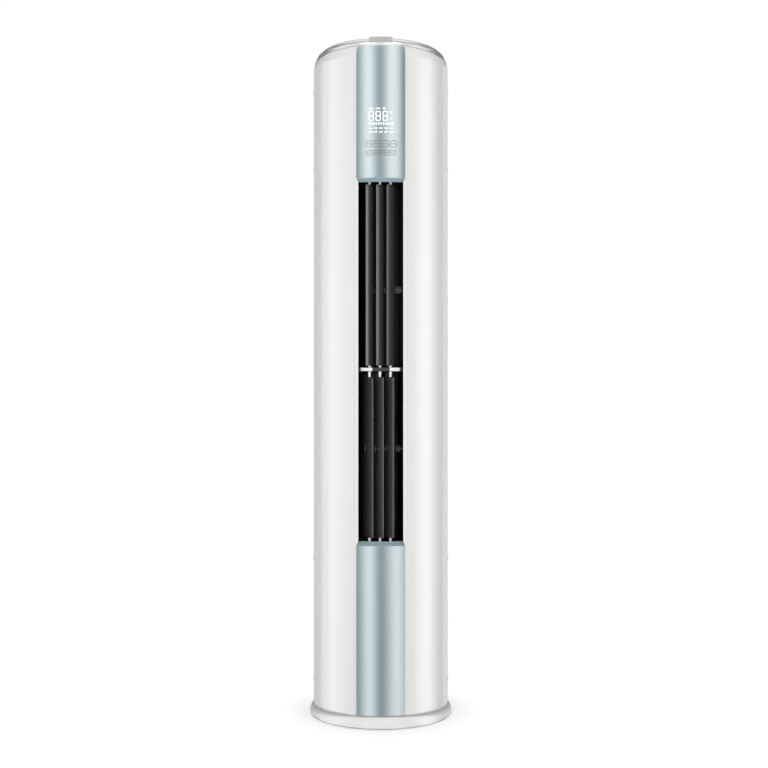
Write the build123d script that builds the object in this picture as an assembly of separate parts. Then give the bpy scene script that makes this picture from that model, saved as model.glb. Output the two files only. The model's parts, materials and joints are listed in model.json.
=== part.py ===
from build123d import *
import math
import os

# Floor standing air conditioner: a round column on a wider foot, with a long outlet window at the front.
# Millimetres, +Z up. The origin is the centre of the footprint on the floor and the front faces -Y.

# ---- Driving dimensions ----------------------------------------------------------------------------

# Column
body_radius = 185.0        # outer radius of the casing
window_bottom = 490.0      # floor to the lower edge of the outlet window
window_height = 943.0      # lower to upper edge of the outlet window
head_height = 360.0        # window to the top of the casing
ring_height = 13.0         # trim ring
lid_height = 12.0          # receiver window over the ring, which is the cabinet's highest place
shoulder_radius = 53.7     # rounding of the casing's top edge
shoulder_height = 29.0     # height over which that rounding runs
seam = 0.5                 # gap between neighbouring panels
clearance = 0.3            # gap between pieces that seat in one another
running_gap = 0.5          # gap round pins that turn

# Foot
foot_margin = 10.0         # foot outside the casing
foot_height = 35.0         # floor to the underside of the casing
skirt_wall = 3.0
skirt_lift = 2.5           # skirt edge above the floor
skirt_rim = 10.0           # height of the upright rim
skirt_neck_inset = 4.0     # skirt's upper edge inside the casing
skirt_round_in = 4.5       # middle of the curve over the rim, inwards and upwards from the rim's edge
skirt_round_up = 8.5
skirt_ribs = 8
skirt_rib_depth = 8.0
pan_sheet = 2.0
pan_wall_inset = 36.0      # pan's wall inside the casing
pan_lip = 6.0              # how far the pan's flange runs past the columns
pad_height = 4.0
pad_radius = 15.0
pad_inset = 34.0           # middles of the foot pads inside the pan's wall
pad_azimuths = (45, 135, 225, 315)
pad_stem = 4.0
pad_stem_rise = 3.0

# Casing sheets
casing_wall = 2.0
return_depth = 14.0        # inward returns along the edges of each panel
return_sheet = 1.6
casing_flange = 33.0       # width of the top flange
front_half_angle = 21.9    # front frame, each side of the middle
frame_wall = 6.0
panel_wall = 3.0
panel_half_width = 64.0
window_half_width = 59.0
lip_depth = 12.0           # how far the panel lips reach into the window
upper_lip = 9.0            # heights of the bevelled lips
lower_lip = 11.0
lip_wall = 2.0
lip_root = 0.6             # share of the lip's wall behind the panel's edge
lip_run = 3.0              # height of the panel that the lip's section takes in
header_height = 4.0        # strip of frame above the upper panel

# Columns and frame
column_depth = 20.0
column_half_width = 18.0
column_sheet = 1.5
column_offset = 15.0       # column face inside the skin
frame_sheet = 2.0
frame_ring_width = 35.0    # casing to the frame ring's inner edge
frame_ring_flange = 7.0

# Outlet duct and louvres
duct_wall = 2.0
duct_margin_top = 7.0      # duct roof above the window edge
duct_margin_bottom = 4.0
duct_back = 100.0          # distance of the duct's rear edge from the cabinet's axis
louvre_depth = 35.0        # louvre pivots inside the skin
louvre_pitch = 27.7
louvre_offset = -2.1       # middle pivot, sideways from the middle of the window
blade_front = 14.2         # pivot to front edge
blade_rear = 23.8          # pivot to rear edge
blade_thickness = 3.6
blade_edge = 1.2
blade_camber = 1.0
blade_pin = 2.0
blade_end_gap = 4.9        # blade end to the centre bar
blade_top_gap = 11.3       # blade end to the duct roof
blade_bottom_gap = 12.0
rest_swing = 41.0          # blades turned from straight at rest
swing_limit = 45.0         # most that they turn from straight
bar_height = 11.0
bar_depth = 16.0
bar_centre = 941.6         # height of the centre bar
bush_wall = 0.9
bush_collar = 1.5          # collar outside the bore
bush_play = 0.1            # sleeve in its seat
bush_gap = 1.0             # collar to the blade's end
bar_bush_gap = 0.6
bar_round = 4.0            # depth of the bar's rounded front
clip_spans = ((-52.8, -22.5), (23.5, 50.0))    # clips on the bar's front, sideways from the middle
clip_height = 9.0
clip_wall = 1.2
corner_height = 10.5       # step at the front of the lower blades' upper end, down from the end
corner_back = 4.4          # and rearwards from the pivot
boss_size = (3.3, 8.0)     # half width and half height of the oval boss at a blade's notch
boss_place = 3.0           # its middle behind the pivot
boss_rise = 0.6            # how far it stands out of the blade

# Louvre drive
link_arm = 18.0            # pivot to link pin
link_pin = 1.5
link_width = 5.2
link_thickness = 4.0
upper_link_share = 0.42    # place of the link along each blade, from its end at the centre bar
lower_link_share = 0.46
notch_height = 20.0
notch_start = 10.5         # pivot to the floor of the notch
tab_width = 16.0
tab_height = 17.0
tab_wall = 2.0
crank_x = 86.0
crank_y_offset = 18.0      # crank axis behind the louvre pivots
crank_hub = 5.0
crank_thickness = 6.0
jog_length = 11.3
link_end = 1.6             # wall of the bar's round ends outside its width
link_gap = 0.6             # bar to crank, and crank to shelf
link_pin_rise = 1.0        # pins above the bar
crank_web = 1.2            # half the web's width outside the pin
shelf_sheet = 2.5
shelf_front = 10.0         # shelf in front of the crank axis
shelf_rib = 18.0           # height of the shelf's stiffening rib
motor_radius = 14.0
motor_height = 19.0
motor_shaft = 2.5
motor_shaft_offset = 8.0
motor_ear = 21.0
motor_ear_sheet = 1.0
motor_ear_half_width = 3.5
motor_ear_hole = 1.8
motor_plug_half_width = 8.0
motor_plug_depth = 3.0
upper_tab_back = 29.0      # end of the tab before the bar's bend, upper and lower bar
lower_tab_back = 7.0
tab_heel = 4.0
tab_hole = 1.8
tab_drop = 8.5             # tab below the bar's middle
tab_eye_share = 0.8        # height of its hole
crank_cap = 1.0            # crank's wall over the shaft's end

# Fan
fan_radius = 58.0
fan_y = -35.0
fan_blades = 18
fan_discs = 4
fan_disc = 2.0
fan_blade_wall = 1.4
fan_blade_chord = 13.0
fan_end_gap = 6.0
fan_blade_lean = 7.0       # outer edge of a blade sideways from its inner edge
fan_blade_sag = 2.2        # depth of its curve
fan_ring_wall = 4.0        # discs inside the blades
shaft_radius = 5.0
shaft_play = 0.25
shaft_tail = 12.0          # lower stub below the chamber
shaft_engage = 14.0        # upper stub in the motor
hub_radius = 14.0
hub_height = 8.0
hub_rise = 2.0             # hubs out of the drum
hub_gap = 6.0              # opening round the upper hub
volute_gap = 6.0
volute_sheet = 2.5
volute_start = 150.0
volute_growth = 1.3        # power of the spiral's growth
volute_points = 5
tongue_gap = 5.0
tongue_azimuth = -44.0
tongue_nose = 3.0          # width of the rounded nose
tongue_wall = 2.5
tongue_wing = 22.0         # length of the wing that closes the chamber's side
bearing_depth = 5.0
bearing_flange = 4.0
bracket_sheet = 1.5
bracket_flange = 14.0
bracket_gap = 6.0          # cup round the bearing
bracket_opening = 3.0      # cup's hole round the shaft
fan_motor_radius = 52.0
fan_motor_height = 70.0
fan_motor_lift = 5.0
fan_motor_waist = 0.55     # shares of the motor's height where its sides step in
fan_motor_shoulder = 0.6
fan_motor_crown = 0.85
fan_motor_step = 3.0
fan_motor_round = 10.0
fan_motor_boss = 14.0
fan_motor_boss_draft = 2.0
fan_motor_boss_height = 5.0
mount_wall = 2.2
mount_cup = 44.0           # height of the cup
mount_flange = 18.0
mount_ledge = 9.0

# Coil, drain and pipes
coil_offset = 67.0         # coil centre line inside the skin
coil_depth = 26.0
coil_turn = 62.0           # angle between neighbouring slabs
coil_headroom = 16.0
plate_sheet = 1.2
partition_sheet = 3.0
disc_margin = 4.0          # partitions inside the casing's returns
slab_gap = 1.0             # half the gap between the slabs' inner corners
intake_margin = 6.0        # grilles above the coil
tray_wall = 2.0
tray_depth = 16.0
tray_rib = 2.5
gas_pipe_radius = 7.95
liquid_pipe_radius = 4.75
bend_radius = 3.6
bend_pitch = 19.0
bends_per_slab = 3
bend_knee = 0.45           # share of a bend's reach that stays straight
gas_join = 640.0           # heights where the pipes leave the coil and run across the pipe chamber
gas_run = 400.0
liquid_join = 600.0
liquid_run = 360.0
union_height = 270.0
union_y = 96.0
gas_union_x = 60.0
liquid_union_x = 20.0
union_shoulder = 5.5       # hexagon outside the pipe
union_nut = 16.0
union_thread = 2.4         # threaded spigot outside the pipe
union_spigot = 14.0
union_nose = 4.0
pipe_bend = 2.6            # bend radius over the pipe's radius
pipe_play = 0.8            # partition's holes round the pipes
riser_inset = 4.0
riser_reach = 24.0         # coil's end to the upright run of a pipe
drain_radius = 9.0
drain_bore = 7.0
drain_length = 34.0
drain_shoulder = 0.5
drain_chamfer = 1.0
tray_front = -14.0         # front edge of the half-ring tray
tray_rib_half_width = 1.5
tray_rib_turn = 18.0       # ribs each side of a slab's middle
coil_margin = 1.2          # coil to the tray's wall
tray_apron = 11.0          # tray inside the coil
drain_azimuth = 150.0

# Rear
grille_wall = 2.5
slot_width = 8.0
slot_pitch = 5.2           # degrees between slots
slot_columns = 29
slot_rows = 3
slot_bridge = 14.0
grille_border = 20.0
filter_depth = 13.0
filter_thickness = 2.8
filter_half_angle = 74.0
filter_border = 9.0
filter_bays = 5
filter_rows = 3
filter_rib = 3.0
mesh_sheet = 0.8
peg_radius = 2.5
peg_length = 8.0
peg_inset = 40.0           # pegs inside a grille's ends
pipe_hole_radius = 30.0
pipe_hole_height = 120.0
bushing_wall = 4.5
bushing_lip = 4.0
bushing_rim = 2.4          # how far the grommet stands out of the skin
gland_radius = 8.0
gland_bore = 4.0
gland_nut = 4.0
gland_flats = 3.0          # hexagon outside the sleeve
gland_step = 0.5           # dome inside the sleeve's radius
gland_height = 90.0
gland_azimuth = 118.0

# Head
box_half_width = 85.0
box_front = 100.0
box_rear = 20.0
box_height = 190.0
box_sheet = 1.2
cover_fold = 6.0
shelf_half_depth = 55.0
shelf_fold = 12.0
shelf_fold_inset = 8.0
shelf_lift = 95.0          # control shelf above the upper partition
display_frame = 8.0        # width of the front frame round the display's opening
display_half_width = 44.0
display_bottom = 72.0      # above the window's upper edge
display_height = 140.0
display_depth = 10.0
tray_sheet = 2.0
digits_share = 0.34        # height of the block of digits on the board
digits_height = 60.0
digits_depth = 4.4
board_sheet = 1.6
board_margin = 7.0
board_standoff = 8.0
board_pillar = 3.0
transformer_place = (-60.0, 12.0)
transformer_size = (30.0, 30.0, 40.0)
relay_place = (-15.0, 84.0)
relay_size = (40.0, 20.0, 40.0)
capacitor_radius = 17.0
capacitor_height = 62.0
capacitor_gap = 7.0
tag_half_width = 3.0
tag_sheet = 0.8
tag_height = 10.0
strip_gap = 16.0
strip_width = 24.0
strip_length = 68.0
strip_height = 12.0
terminals = 5
barrier_sheet = 1.5
barrier_height = 8.0
sensor_radius = 4.0
sensor_height = 12.0
sensor_clip_height = 5.0
sensor_inset = 5.0
receiver_half_width = 32.4
receiver_height = 19.0
receiver_lift = 6.0
receiver_wall = 3.0
receiver_rim = (10.5, 16.0)    # the window's outline inwards from the ring's foot
receiver_share = (0.5, 1.0)    # at these shares of the height over the ring
receiver_reach = 10.0          # how far its top runs in over the lid
receiver_rise = 0.3        # how far the window stands out of the ring and the lid
ring_wall = 3.0
top_setback = 0.3          # ring inside the casing's edge
ring_lean = 1.5            # ring's outline inwards from its foot at half height
ring_set = 8.0             # and at its top
lid_rim = (12.7, 18.7, 28.2)   # lid's outline inwards from the ring's foot
lid_rim_share = (0.38, 0.7, 0.83)      # at these shares of the height over the ring
lid_dish = 3.0             # depth of the shallow dish
lid_dish_edge = 39.0       # edge of the dish inside the lid's rim
lid_dish_run = 6.0         # width of the slope into the dish
lid_wall = 3.0
lid_skirt = 9.0            # the lid's skirt inside its rim

# ---- Levels and places worked out from them ---------------------------------------------------------

FRONT = 270.0
REAR = 90.0
window_top = window_bottom + window_height
casing_top = window_top + head_height
foot_radius = body_radius + foot_margin
skirt_neck = body_radius - skirt_neck_inset
pan_wall_radius = body_radius - pan_wall_inset
pad_circle = pan_wall_radius - pad_inset
shoulder_start = casing_top - shoulder_height
ring_top = casing_top + ring_height
total_height = ring_top + lid_height
duct_floor = window_bottom - duct_margin_bottom
duct_roof = window_top + duct_margin_top
chamber_floor = duct_floor - duct_wall
chamber_roof = duct_roof + duct_wall
partition_top = chamber_roof + partition_sheet
lower_panel_top = window_bottom - lower_lip
upper_panel_bottom = window_top + upper_lip
upper_panel_top = casing_top - header_height
frame_inner = body_radius - frame_wall
louvre_y = -(body_radius - louvre_depth)
louvre_x = [louvre_offset + step * louvre_pitch for step in (-1, 0, 1)]
bar_bottom = bar_centre - bar_height / 2
bar_top = bar_centre + bar_height / 2
upper_blade = (bar_top + blade_end_gap, duct_roof - blade_top_gap)
lower_blade = (duct_floor + blade_bottom_gap, bar_bottom - blade_end_gap)
upper_link_z = upper_blade[0] + upper_link_share * (upper_blade[1] - upper_blade[0])
lower_link_z = lower_blade[1] - lower_link_share * (lower_blade[1] - lower_blade[0])
column_face = body_radius - column_offset
column_top = shoulder_start - 2 * frame_sheet
return_inner = body_radius - return_depth
disc_radius = return_inner - disc_margin
coil_radius = body_radius - coil_offset
coil_outer = coil_radius + coil_depth / 2
column_inner = column_face - column_depth
tray_room = column_inner - clearance - tray_wall - coil_margin
coil_half = min((coil_radius - coil_depth / 2) * math.tan(math.radians(coil_turn / 2)) - slab_gap,
                math.sqrt(tray_room ** 2 - coil_outer ** 2))
tray_floor = chamber_floor + tray_wall
coil_bottom = tray_floor + tray_rib + plate_sheet
coil_top = chamber_roof - coil_headroom
tray_outer = math.hypot(coil_half, coil_outer) + coil_margin + tray_wall
tray_inner = coil_radius - coil_depth / 2 - tray_apron
intake_bottom = duct_floor
intake_top = coil_top + intake_margin
intake_middle = (intake_bottom + intake_top) / 2
shelf_bottom = partition_top + shelf_lift


# ---- Shape helpers ---------------------------------------------------------------------------------

def skin_radius(depth, z):
    """Radius, at height z, of the surface that lies depth inside the cabinet's skin."""
    if z <= shoulder_start:
        return body_radius - depth
    rise = math.sqrt((shoulder_radius - depth) ** 2 - (z - shoulder_start) ** 2)
    return body_radius - shoulder_radius + rise


def skin_line(depth, bottom, top):
    """The upright line, and the arc over the shoulder, of the skin at a depth."""
    straight_top = min(top, shoulder_start)
    line = Line((body_radius - depth, 0, bottom), (body_radius - depth, 0, straight_top))
    if top <= shoulder_start:
        return line
    points = [(skin_radius(depth, z), 0, z) for z in (straight_top, (straight_top + top) / 2, top)]
    return line + ThreePointArc(*points)


def skin_face(bottom, top, depth, thickness):
    """Section of a shell that follows the skin between two heights."""
    inner = depth + thickness
    ends = [Line((skin_radius(depth, z), 0, z), (skin_radius(inner, z), 0, z)) for z in (bottom, top)]
    return make_face(skin_line(depth, bottom, top) + skin_line(inner, bottom, top) + ends[0] + ends[1])


def section(*points):
    """A closed section from (radius, height) points."""
    return make_face(Polyline(*[(r, 0, z) for r, z in points], close=True))


def turned(face, start=0.0, end=360.0):
    """A section turned about the cabinet's axis between two azimuths."""
    return Rot(0, 0, start) * revolve(face, Axis.Z, revolution_arc=end - start)


def prism(points, bottom, top):
    """An upright prism on an outline in plan."""
    return extrude(Pos(0, 0, bottom) * make_face(Polyline(*points, close=True)), top - bottom)


def block(x, y, z):
    """A box between pairs of limits."""
    size = [b - a for a, b in (x, y, z)]
    return Pos(*[(a + b) / 2 for a, b in (x, y, z)]) * Box(*size)


def rod(radius, x, y, bottom, top):
    """An upright cylinder."""
    return Pos(x, y, (bottom + top) / 2) * Cylinder(radius, top - bottom)


def radial(shape, azimuth, z):
    """A shape made along +X, turned to an azimuth and lifted."""
    return Pos(0, 0, z) * Rot(0, 0, azimuth) * shape


def across(radius, start, end):
    """A cylinder along +X between two distances from the axis."""
    return Pos((start + end) / 2, 0, 0) * Rot(0, 90, 0) * Cylinder(radius, end - start)


def panel(bottom, top, start, end, wall, flange_bottom=False, flange_top=False):
    """A casing panel: a shell on the skin with returns along its upright edges and flanges at its ends."""
    shell = turned(skin_face(bottom, top, 0, wall), start, end)
    turn = math.degrees(return_sheet / body_radius)
    edge = skin_face(bottom, top, wall / 2, return_depth - wall / 2)
    shell += turned(edge, start, start + turn)
    shell += turned(edge, end - turn, end)
    if flange_bottom:
        flange = skin_face(bottom, bottom + casing_wall, wall / 2, return_depth - wall / 2)
        shell += turned(flange, start, end)
    if flange_top:
        level = top - casing_wall
        inner = body_radius - casing_flange
        rim = section((inner, level), (skin_radius(wall / 2, level), level),
                      (skin_radius(wall / 2, top), top), (inner, top))
        shell += turned(rim, start, end)
    return shell


# ---- Foot ------------------------------------------------------------------------------------------

def base_skirt():
    """Moulded foot: upright rim, long slope up to the casing and a flange over the pan's wall."""
    top = foot_height - pan_sheet
    under = top - skirt_wall
    rim_top = skirt_lift + skirt_rim
    inner = pan_wall_radius + 2 * clearance
    hollow = foot_radius - skirt_wall
    outline = Line((foot_radius, 0, skirt_lift), (foot_radius, 0, rim_top))
    outline += ThreePointArc((foot_radius, 0, rim_top),
                             (foot_radius - skirt_round_in, 0, rim_top + skirt_round_up),
                             (skirt_neck, 0, top))
    outline += Polyline((skirt_neck, 0, top), (inner, 0, top), (inner, 0, under), (skirt_neck, 0, under),
                        (hollow, 0, rim_top), (hollow, 0, skirt_lift), (foot_radius, 0, skirt_lift))
    skirt = turned(make_face(outline))
    rib = section((inner + skirt_wall, under), (skirt_neck, under), (hollow, rim_top),
                  (hollow, rim_top - skirt_rib_depth / 2), (inner + skirt_wall, under - skirt_rib_depth))
    rib_turn = math.degrees(skirt_wall / 2 / foot_radius)
    for step in range(skirt_ribs):
        azimuth = 360 * step / skirt_ribs
        skirt += turned(rib, azimuth - rib_turn, azimuth + rib_turn)
    return skirt


def pad_places():
    return [(pad_circle * math.cos(math.radians(a)), pad_circle * math.sin(math.radians(a)))
            for a in pad_azimuths]


def base_pan():
    """Steel dish that carries the columns and, on its flange, the casing."""
    wall, lip_edge = pan_wall_radius, column_face + pan_lip
    pan = turned(section((0, pad_height), (wall, pad_height), (wall, foot_height - pan_sheet),
                         (lip_edge, foot_height - pan_sheet), (lip_edge, foot_height),
                         (wall - pan_sheet, foot_height), (wall - pan_sheet, pad_height + pan_sheet),
                         (0, pad_height + pan_sheet)))
    return pan - [rod(pad_stem + clearance, x, y, 0, foot_height) for x, y in pad_places()]


def foot_pads():
    """Rubber pads with a stem through the pan."""
    pads = []
    for x, y in pad_places():
        stem = rod(pad_stem, x, y, pad_height, pad_height + pan_sheet + pad_stem_rise)
        pads.append(rod(pad_radius, x, y, 0, pad_height) + stem)
    return pads


# ---- Frame -----------------------------------------------------------------------------------------

def column(side):
    """Channel that stands on the pan; its web faces the seam between side casing and rear."""
    outer = block((column_face - column_depth, column_face), (-column_half_width, column_half_width),
                  (foot_height, column_top))
    hollow = block((column_face - column_depth - 1, column_face - column_sheet),
                   (column_sheet - column_half_width, column_half_width - column_sheet),
                   (foot_height - 1, column_top + 1))
    post = outer - hollow
    return post if side > 0 else mirror(post, Plane.YZ)


def top_frame():
    """Hat-section ring on the columns that carries the casing's top flange."""
    level, top, inner = column_top, casing_top - casing_wall, body_radius - frame_ring_width
    return turned(section((column_face - 1, level), (inner, level), (inner, top),
                          (inner + frame_ring_flange, top), (inner + frame_ring_flange, top - frame_sheet),
                          (inner + frame_sheet, top - frame_sheet),
                          (inner + frame_sheet, level + frame_sheet),
                          (column_face - 1, level + frame_sheet)))


# ---- Casing ----------------------------------------------------------------------------------------

def seam_angle(gap=seam):
    return math.degrees(gap / 2 / body_radius)


def side_casing(side):
    """Side shell from the front frame to the seam over the column."""
    start = FRONT + front_half_angle + seam_angle()
    shell = panel(foot_height, casing_top, start, 360 - seam_angle(), casing_wall, True, True)
    peg_hole = Rot(90, 0, 0) * Cylinder(peg_radius + clearance, 2 * peg_length)
    shell -= [Pos(peg_x(), 0, z) * peg_hole for z in peg_levels()]
    return shell if side > 0 else mirror(shell, Plane.YZ)


def rear_cover(bottom, top, is_top):
    """Rear shell below or above the intake."""
    return panel(bottom, top, seam_angle(), 180 - seam_angle(), casing_wall, not is_top, is_top)


def rear_lower_cover():
    shell = rear_cover(foot_height, intake_bottom - seam, False)
    span = (return_inner, body_radius + 1)
    shell -= radial(across(pipe_hole_radius + clearance, *span), REAR, pipe_hole_height)
    return shell - radial(across(gland_radius + clearance, *span), gland_azimuth, gland_height)


def rear_upper_cover():
    return rear_cover(intake_top + seam, casing_top, True)


def window_outline():
    """Outlet window with its flared ends, which leave room for the panel lips."""
    half, flare = window_half_width, panel_half_width
    seat = lip_wall * lip_root + clearance
    right = [(half, window_bottom), (flare, lower_panel_top), (flare, lower_panel_top - seat)]
    upper = [(flare, upper_panel_bottom + seat), (flare, upper_panel_bottom), (half, window_top)]
    return right + [(-x, z) for x, z in reversed(right)] + [(-x, z) for x, z in reversed(upper)] + upper


def front_prism(corners):
    """A prism through the front wall on an outline in front view."""
    face = make_face(Polyline(*[(x, -body_radius - 10, z) for x, z in corners], close=True))
    return extrude(face, amount=body_radius - 90, dir=(0, 1, 0))


def panel_half_angle(gap=0.0):
    return math.degrees(math.asin((panel_half_width + gap) / body_radius))


def front_frame():
    """White frame round the window, recessed for the two panels."""
    half = front_half_angle - seam_angle()
    frame = panel(foot_height, casing_top, FRONT - half, FRONT + half, frame_wall, False, True)
    wide = panel_half_angle(clearance)
    depth = panel_wall + clearance
    for bottom, top in ((foot_height - 1, lower_panel_top + clearance),
                        (upper_panel_bottom - clearance, upper_panel_top + clearance)):
        recess = skin_face(bottom, top, -5, depth + 5)
        frame -= turned(recess, FRONT - wide, FRONT + wide)
    frame -= front_prism(window_outline())
    bottom = window_top + display_bottom
    half = display_half_width - display_frame
    return frame - block((-half, half), (-body_radius, -body_radius / 2),
                         (bottom + display_frame, bottom + display_height - display_frame))


def lip(edge, root, direction):
    """Bevel that runs from a panel's edge into the window, cut to the window's flared ends."""
    inner = body_radius - lip_depth
    wide = panel_half_angle()
    bevel = turned(section((body_radius, root), (inner, edge), (inner, edge + direction * lip_wall),
                           (body_radius - panel_wall, root + direction * lip_wall * lip_root),
                           (body_radius - panel_wall, root + direction * lip_run),
                           (body_radius, root + direction * lip_run)),
                   FRONT - wide, FRONT + wide)
    half, flare = window_half_width - clearance, panel_half_width - clearance
    reach = root + direction * 2 * lip_run
    return bevel & front_prism([(half, edge - direction), (half, edge), (flare, root), (flare, reach),
                                (-flare, reach), (-flare, root), (-half, edge), (-half, edge - direction)])


def upper_front_panel():
    wide = panel_half_angle()
    shell = turned(skin_face(upper_panel_bottom, upper_panel_top, 0, panel_wall), FRONT - wide, FRONT + wide)
    return shell + lip(window_top, upper_panel_bottom, 1)


def lower_front_panel():
    wide = panel_half_angle()
    shell = turned(skin_face(foot_height, lower_panel_top, 0, panel_wall), FRONT - wide, FRONT + wide)
    return shell + lip(window_bottom, lower_panel_top, -1)


# ---- Top -------------------------------------------------------------------------------------------

def top_outline(depth):
    """Points of the ring's and lid's outer face, from the casing up, at a depth inside it."""
    rim = skin_radius(0, casing_top) - top_setback - depth
    ring = [(rim, casing_top), (rim - ring_lean, casing_top + ring_height / 2), (rim - ring_set, ring_top)]
    return ring + [(rim - step, ring_top + share * lid_height) for step, share in zip(lid_rim, lid_rim_share)]


def receiver_inner():
    return skin_radius(0, casing_top) - top_setback - receiver_rim[-1] - receiver_reach


def receiver_cut(gap):
    """Cutter through the ring and the lid for the grey window, larger by a gap."""
    half = math.degrees(math.asin((receiver_half_width + gap) / skin_radius(0, casing_top)))
    bottom = casing_top + receiver_lift - gap
    top = bottom + receiver_height + 2 * gap
    inner = receiver_inner() - gap
    return turned(section((inner, bottom), (body_radius, bottom), (body_radius, top), (inner, top)),
                  FRONT - half, FRONT + half)


def top_trim_ring():
    """Bright ring between casing and lid, with a flange that seats on the casing."""
    outer = top_outline(0)[:3]
    inner = [(r - ring_wall, z) for r, z in reversed(outer)]
    flange, flange_top = body_radius - casing_flange, casing_top + ring_wall
    ring = turned(section(*outer, *inner[:2], (inner[2][0], flange_top), (flange, flange_top),
                          (flange, casing_top)))
    return ring - receiver_cut(clearance)


def top_lid():
    """Lid with a rounded rim, a shallow dish and a skirt that stands on the ring's flange."""
    rim = top_outline(0)[2:]
    lid_top = rim[-1][1]
    start = rim[0][0] - clearance
    skirt = rim[0][0] - lid_skirt
    dish = rim[0][0] - lid_dish_edge
    base = casing_top + ring_wall
    floor, under = lid_top - lid_dish, lid_top - lid_dish - lid_wall
    lid = turned(section((start, ring_top), *rim[1:], (dish, lid_top), (dish - lid_dish_run, floor),
                         (0, floor), (0, under), (skirt - lid_wall, under), (skirt - lid_wall, base),
                         (skirt, base), (skirt, under), (start - lid_wall, ring_top)))
    return lid - receiver_cut(clearance)


def receiver_window():
    """Grey window let into the ring at the front, which bends over the lid's rim."""
    ring = top_outline(0)[:3]
    foot = ring[0][0] + receiver_rise
    outer = [(r + receiver_rise, z) for r, z in ring]
    outer += [(foot - step, ring_top + share * lid_height)
              for step, share in zip(receiver_rim, receiver_share)]
    inner = [(r - receiver_wall, z - receiver_wall) for r, z in reversed(outer[3:])]
    inner += [(r - receiver_wall, z) for r, z in reversed(outer[:3])]
    top, reach = total_height, receiver_inner()
    shape = section(*outer, (reach, top), (reach, top - receiver_wall), *inner)
    return turned(shape) & receiver_cut(0.0)


# ---- Outlet and louvres -----------------------------------------------------------------------------

def link_slot(link_z):
    """Slot in the duct wall that the link bar and its tab pass through."""
    margin = link_width / 2 + 2 * running_gap
    near = link_arm * math.cos(math.radians(swing_limit)) - margin
    wall = (window_half_width - 1, window_half_width + duct_wall + 1)
    return block(wall, (louvre_y + near, louvre_y + link_arm + margin),
                 (link_z - tab_drop - running_gap, link_z + tab_height - tab_drop + running_gap))


def crank_top(link_z):
    return link_z - link_thickness / 2 - link_gap


def shelf_top(link_z):
    return crank_top(link_z) - crank_thickness - link_gap


def crank_y():
    return louvre_y + crank_y_offset


def motor_shelf(link_z):
    """Shelf on the duct's right wall for a swing motor."""
    top, y = shelf_top(link_z), crank_y()
    root = window_half_width + duct_wall / 2
    front = y - shelf_front
    rear = y + motor_shaft_offset + motor_radius + duct_wall
    shelf = block((root, crank_x + motor_ear + duct_wall), (front, rear), (top - shelf_sheet, top))
    rib = block((root, crank_x - motor_radius - duct_wall), (front, front + duct_wall),
                (top - shelf_sheet - shelf_rib, top - shelf_sheet))
    return shelf + rib - rod(crank_hub, crank_x, y, top - 2 * shelf_sheet, top + 1)


def bush_seat(x, bottom, top):
    """Cutter for the sleeve of a bush."""
    return rod(bush_sleeve() + bush_play, x, louvre_y, bottom, top)


def outlet_duct():
    """Black duct from the fan to the window, with the bearings' seats and the shelves for the motors."""
    half, outer = window_half_width, window_half_width + duct_wall
    duct = block((-outer, outer), (-body_radius, -duct_back), (chamber_floor, chamber_roof))
    duct -= block((-half, half), (-body_radius - 1, 1 - duct_back), (duct_floor, duct_roof))
    duct &= rod(frame_inner - clearance, 0, 0, chamber_floor, chamber_roof)
    lip_end = body_radius - lip_depth - running_gap
    lip_levels = ((chamber_floor, window_bottom + running_gap), (window_top - running_gap, chamber_roof))
    for bottom, top in lip_levels:
        ring = extrude(Plane.XY.offset(bottom) * (Circle(body_radius) - Circle(lip_end)), top - bottom)
        duct -= ring & block((-outer, outer), (-body_radius, 0), (bottom, top))
    for x in louvre_x:
        duct -= bush_seat(x, chamber_floor - 1, duct_floor + 1)
        duct -= bush_seat(x, duct_roof - 1, chamber_roof + 1)
    for link_z in (upper_link_z, lower_link_z):
        duct -= link_slot(link_z)
        duct += motor_shelf(link_z)
    return duct


def bar_prism(start, end, grow):
    """The bar's section, with its rounded front moved forward, run between two places across the window."""
    front, back = louvre_y - bar_depth / 2 - grow, louvre_y + bar_depth / 2
    flat = front + bar_round
    outline = Line((start, back, bar_bottom), (start, flat, bar_bottom))
    outline += ThreePointArc((start, flat, bar_bottom), (start, front, bar_centre), (start, flat, bar_top))
    outline += Polyline((start, flat, bar_top), (start, back, bar_top), (start, back, bar_bottom))
    return extrude(make_face(outline), amount=end - start, dir=(1, 0, 0))


def centre_bar():
    """Cross bar between the two louvre groups, rounded at the front, with seats for the bushes."""
    bar = bar_prism(-window_half_width, window_half_width, 0)
    return bar - [bush_seat(x, bar_bottom - 1, bar_top + 1) for x in louvre_x]


def bar_clip(start, end):
    """White clip over the front of the bar."""
    front = louvre_y - bar_depth / 2
    band = block((start, end), (front - bar_round, front + bar_round / 2),
                 (bar_centre - clip_height / 2, bar_centre + clip_height / 2))
    return (bar_prism(start, end, clearance + clip_wall) - bar_prism(start, end, clearance)) & band


def bush_sleeve():
    return blade_pin + running_gap / 2 + bush_wall


def bush(x, seat, direction, sink, rise):
    """A bearing sleeve sunk in its seat, with a collar that tapers towards the blade."""
    bore, sleeve = blade_pin + running_gap / 2, bush_sleeve()
    points = [(bore, -sink), (sleeve, -sink), (sleeve, 0), (bore + bush_collar, 0), (sleeve, rise),
              (bore, rise)]
    ring = revolve(section(*points), Axis.Z)
    if direction < 0:
        ring = mirror(ring, Plane.XY)
    return Pos(x, louvre_y, seat) * ring


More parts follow.
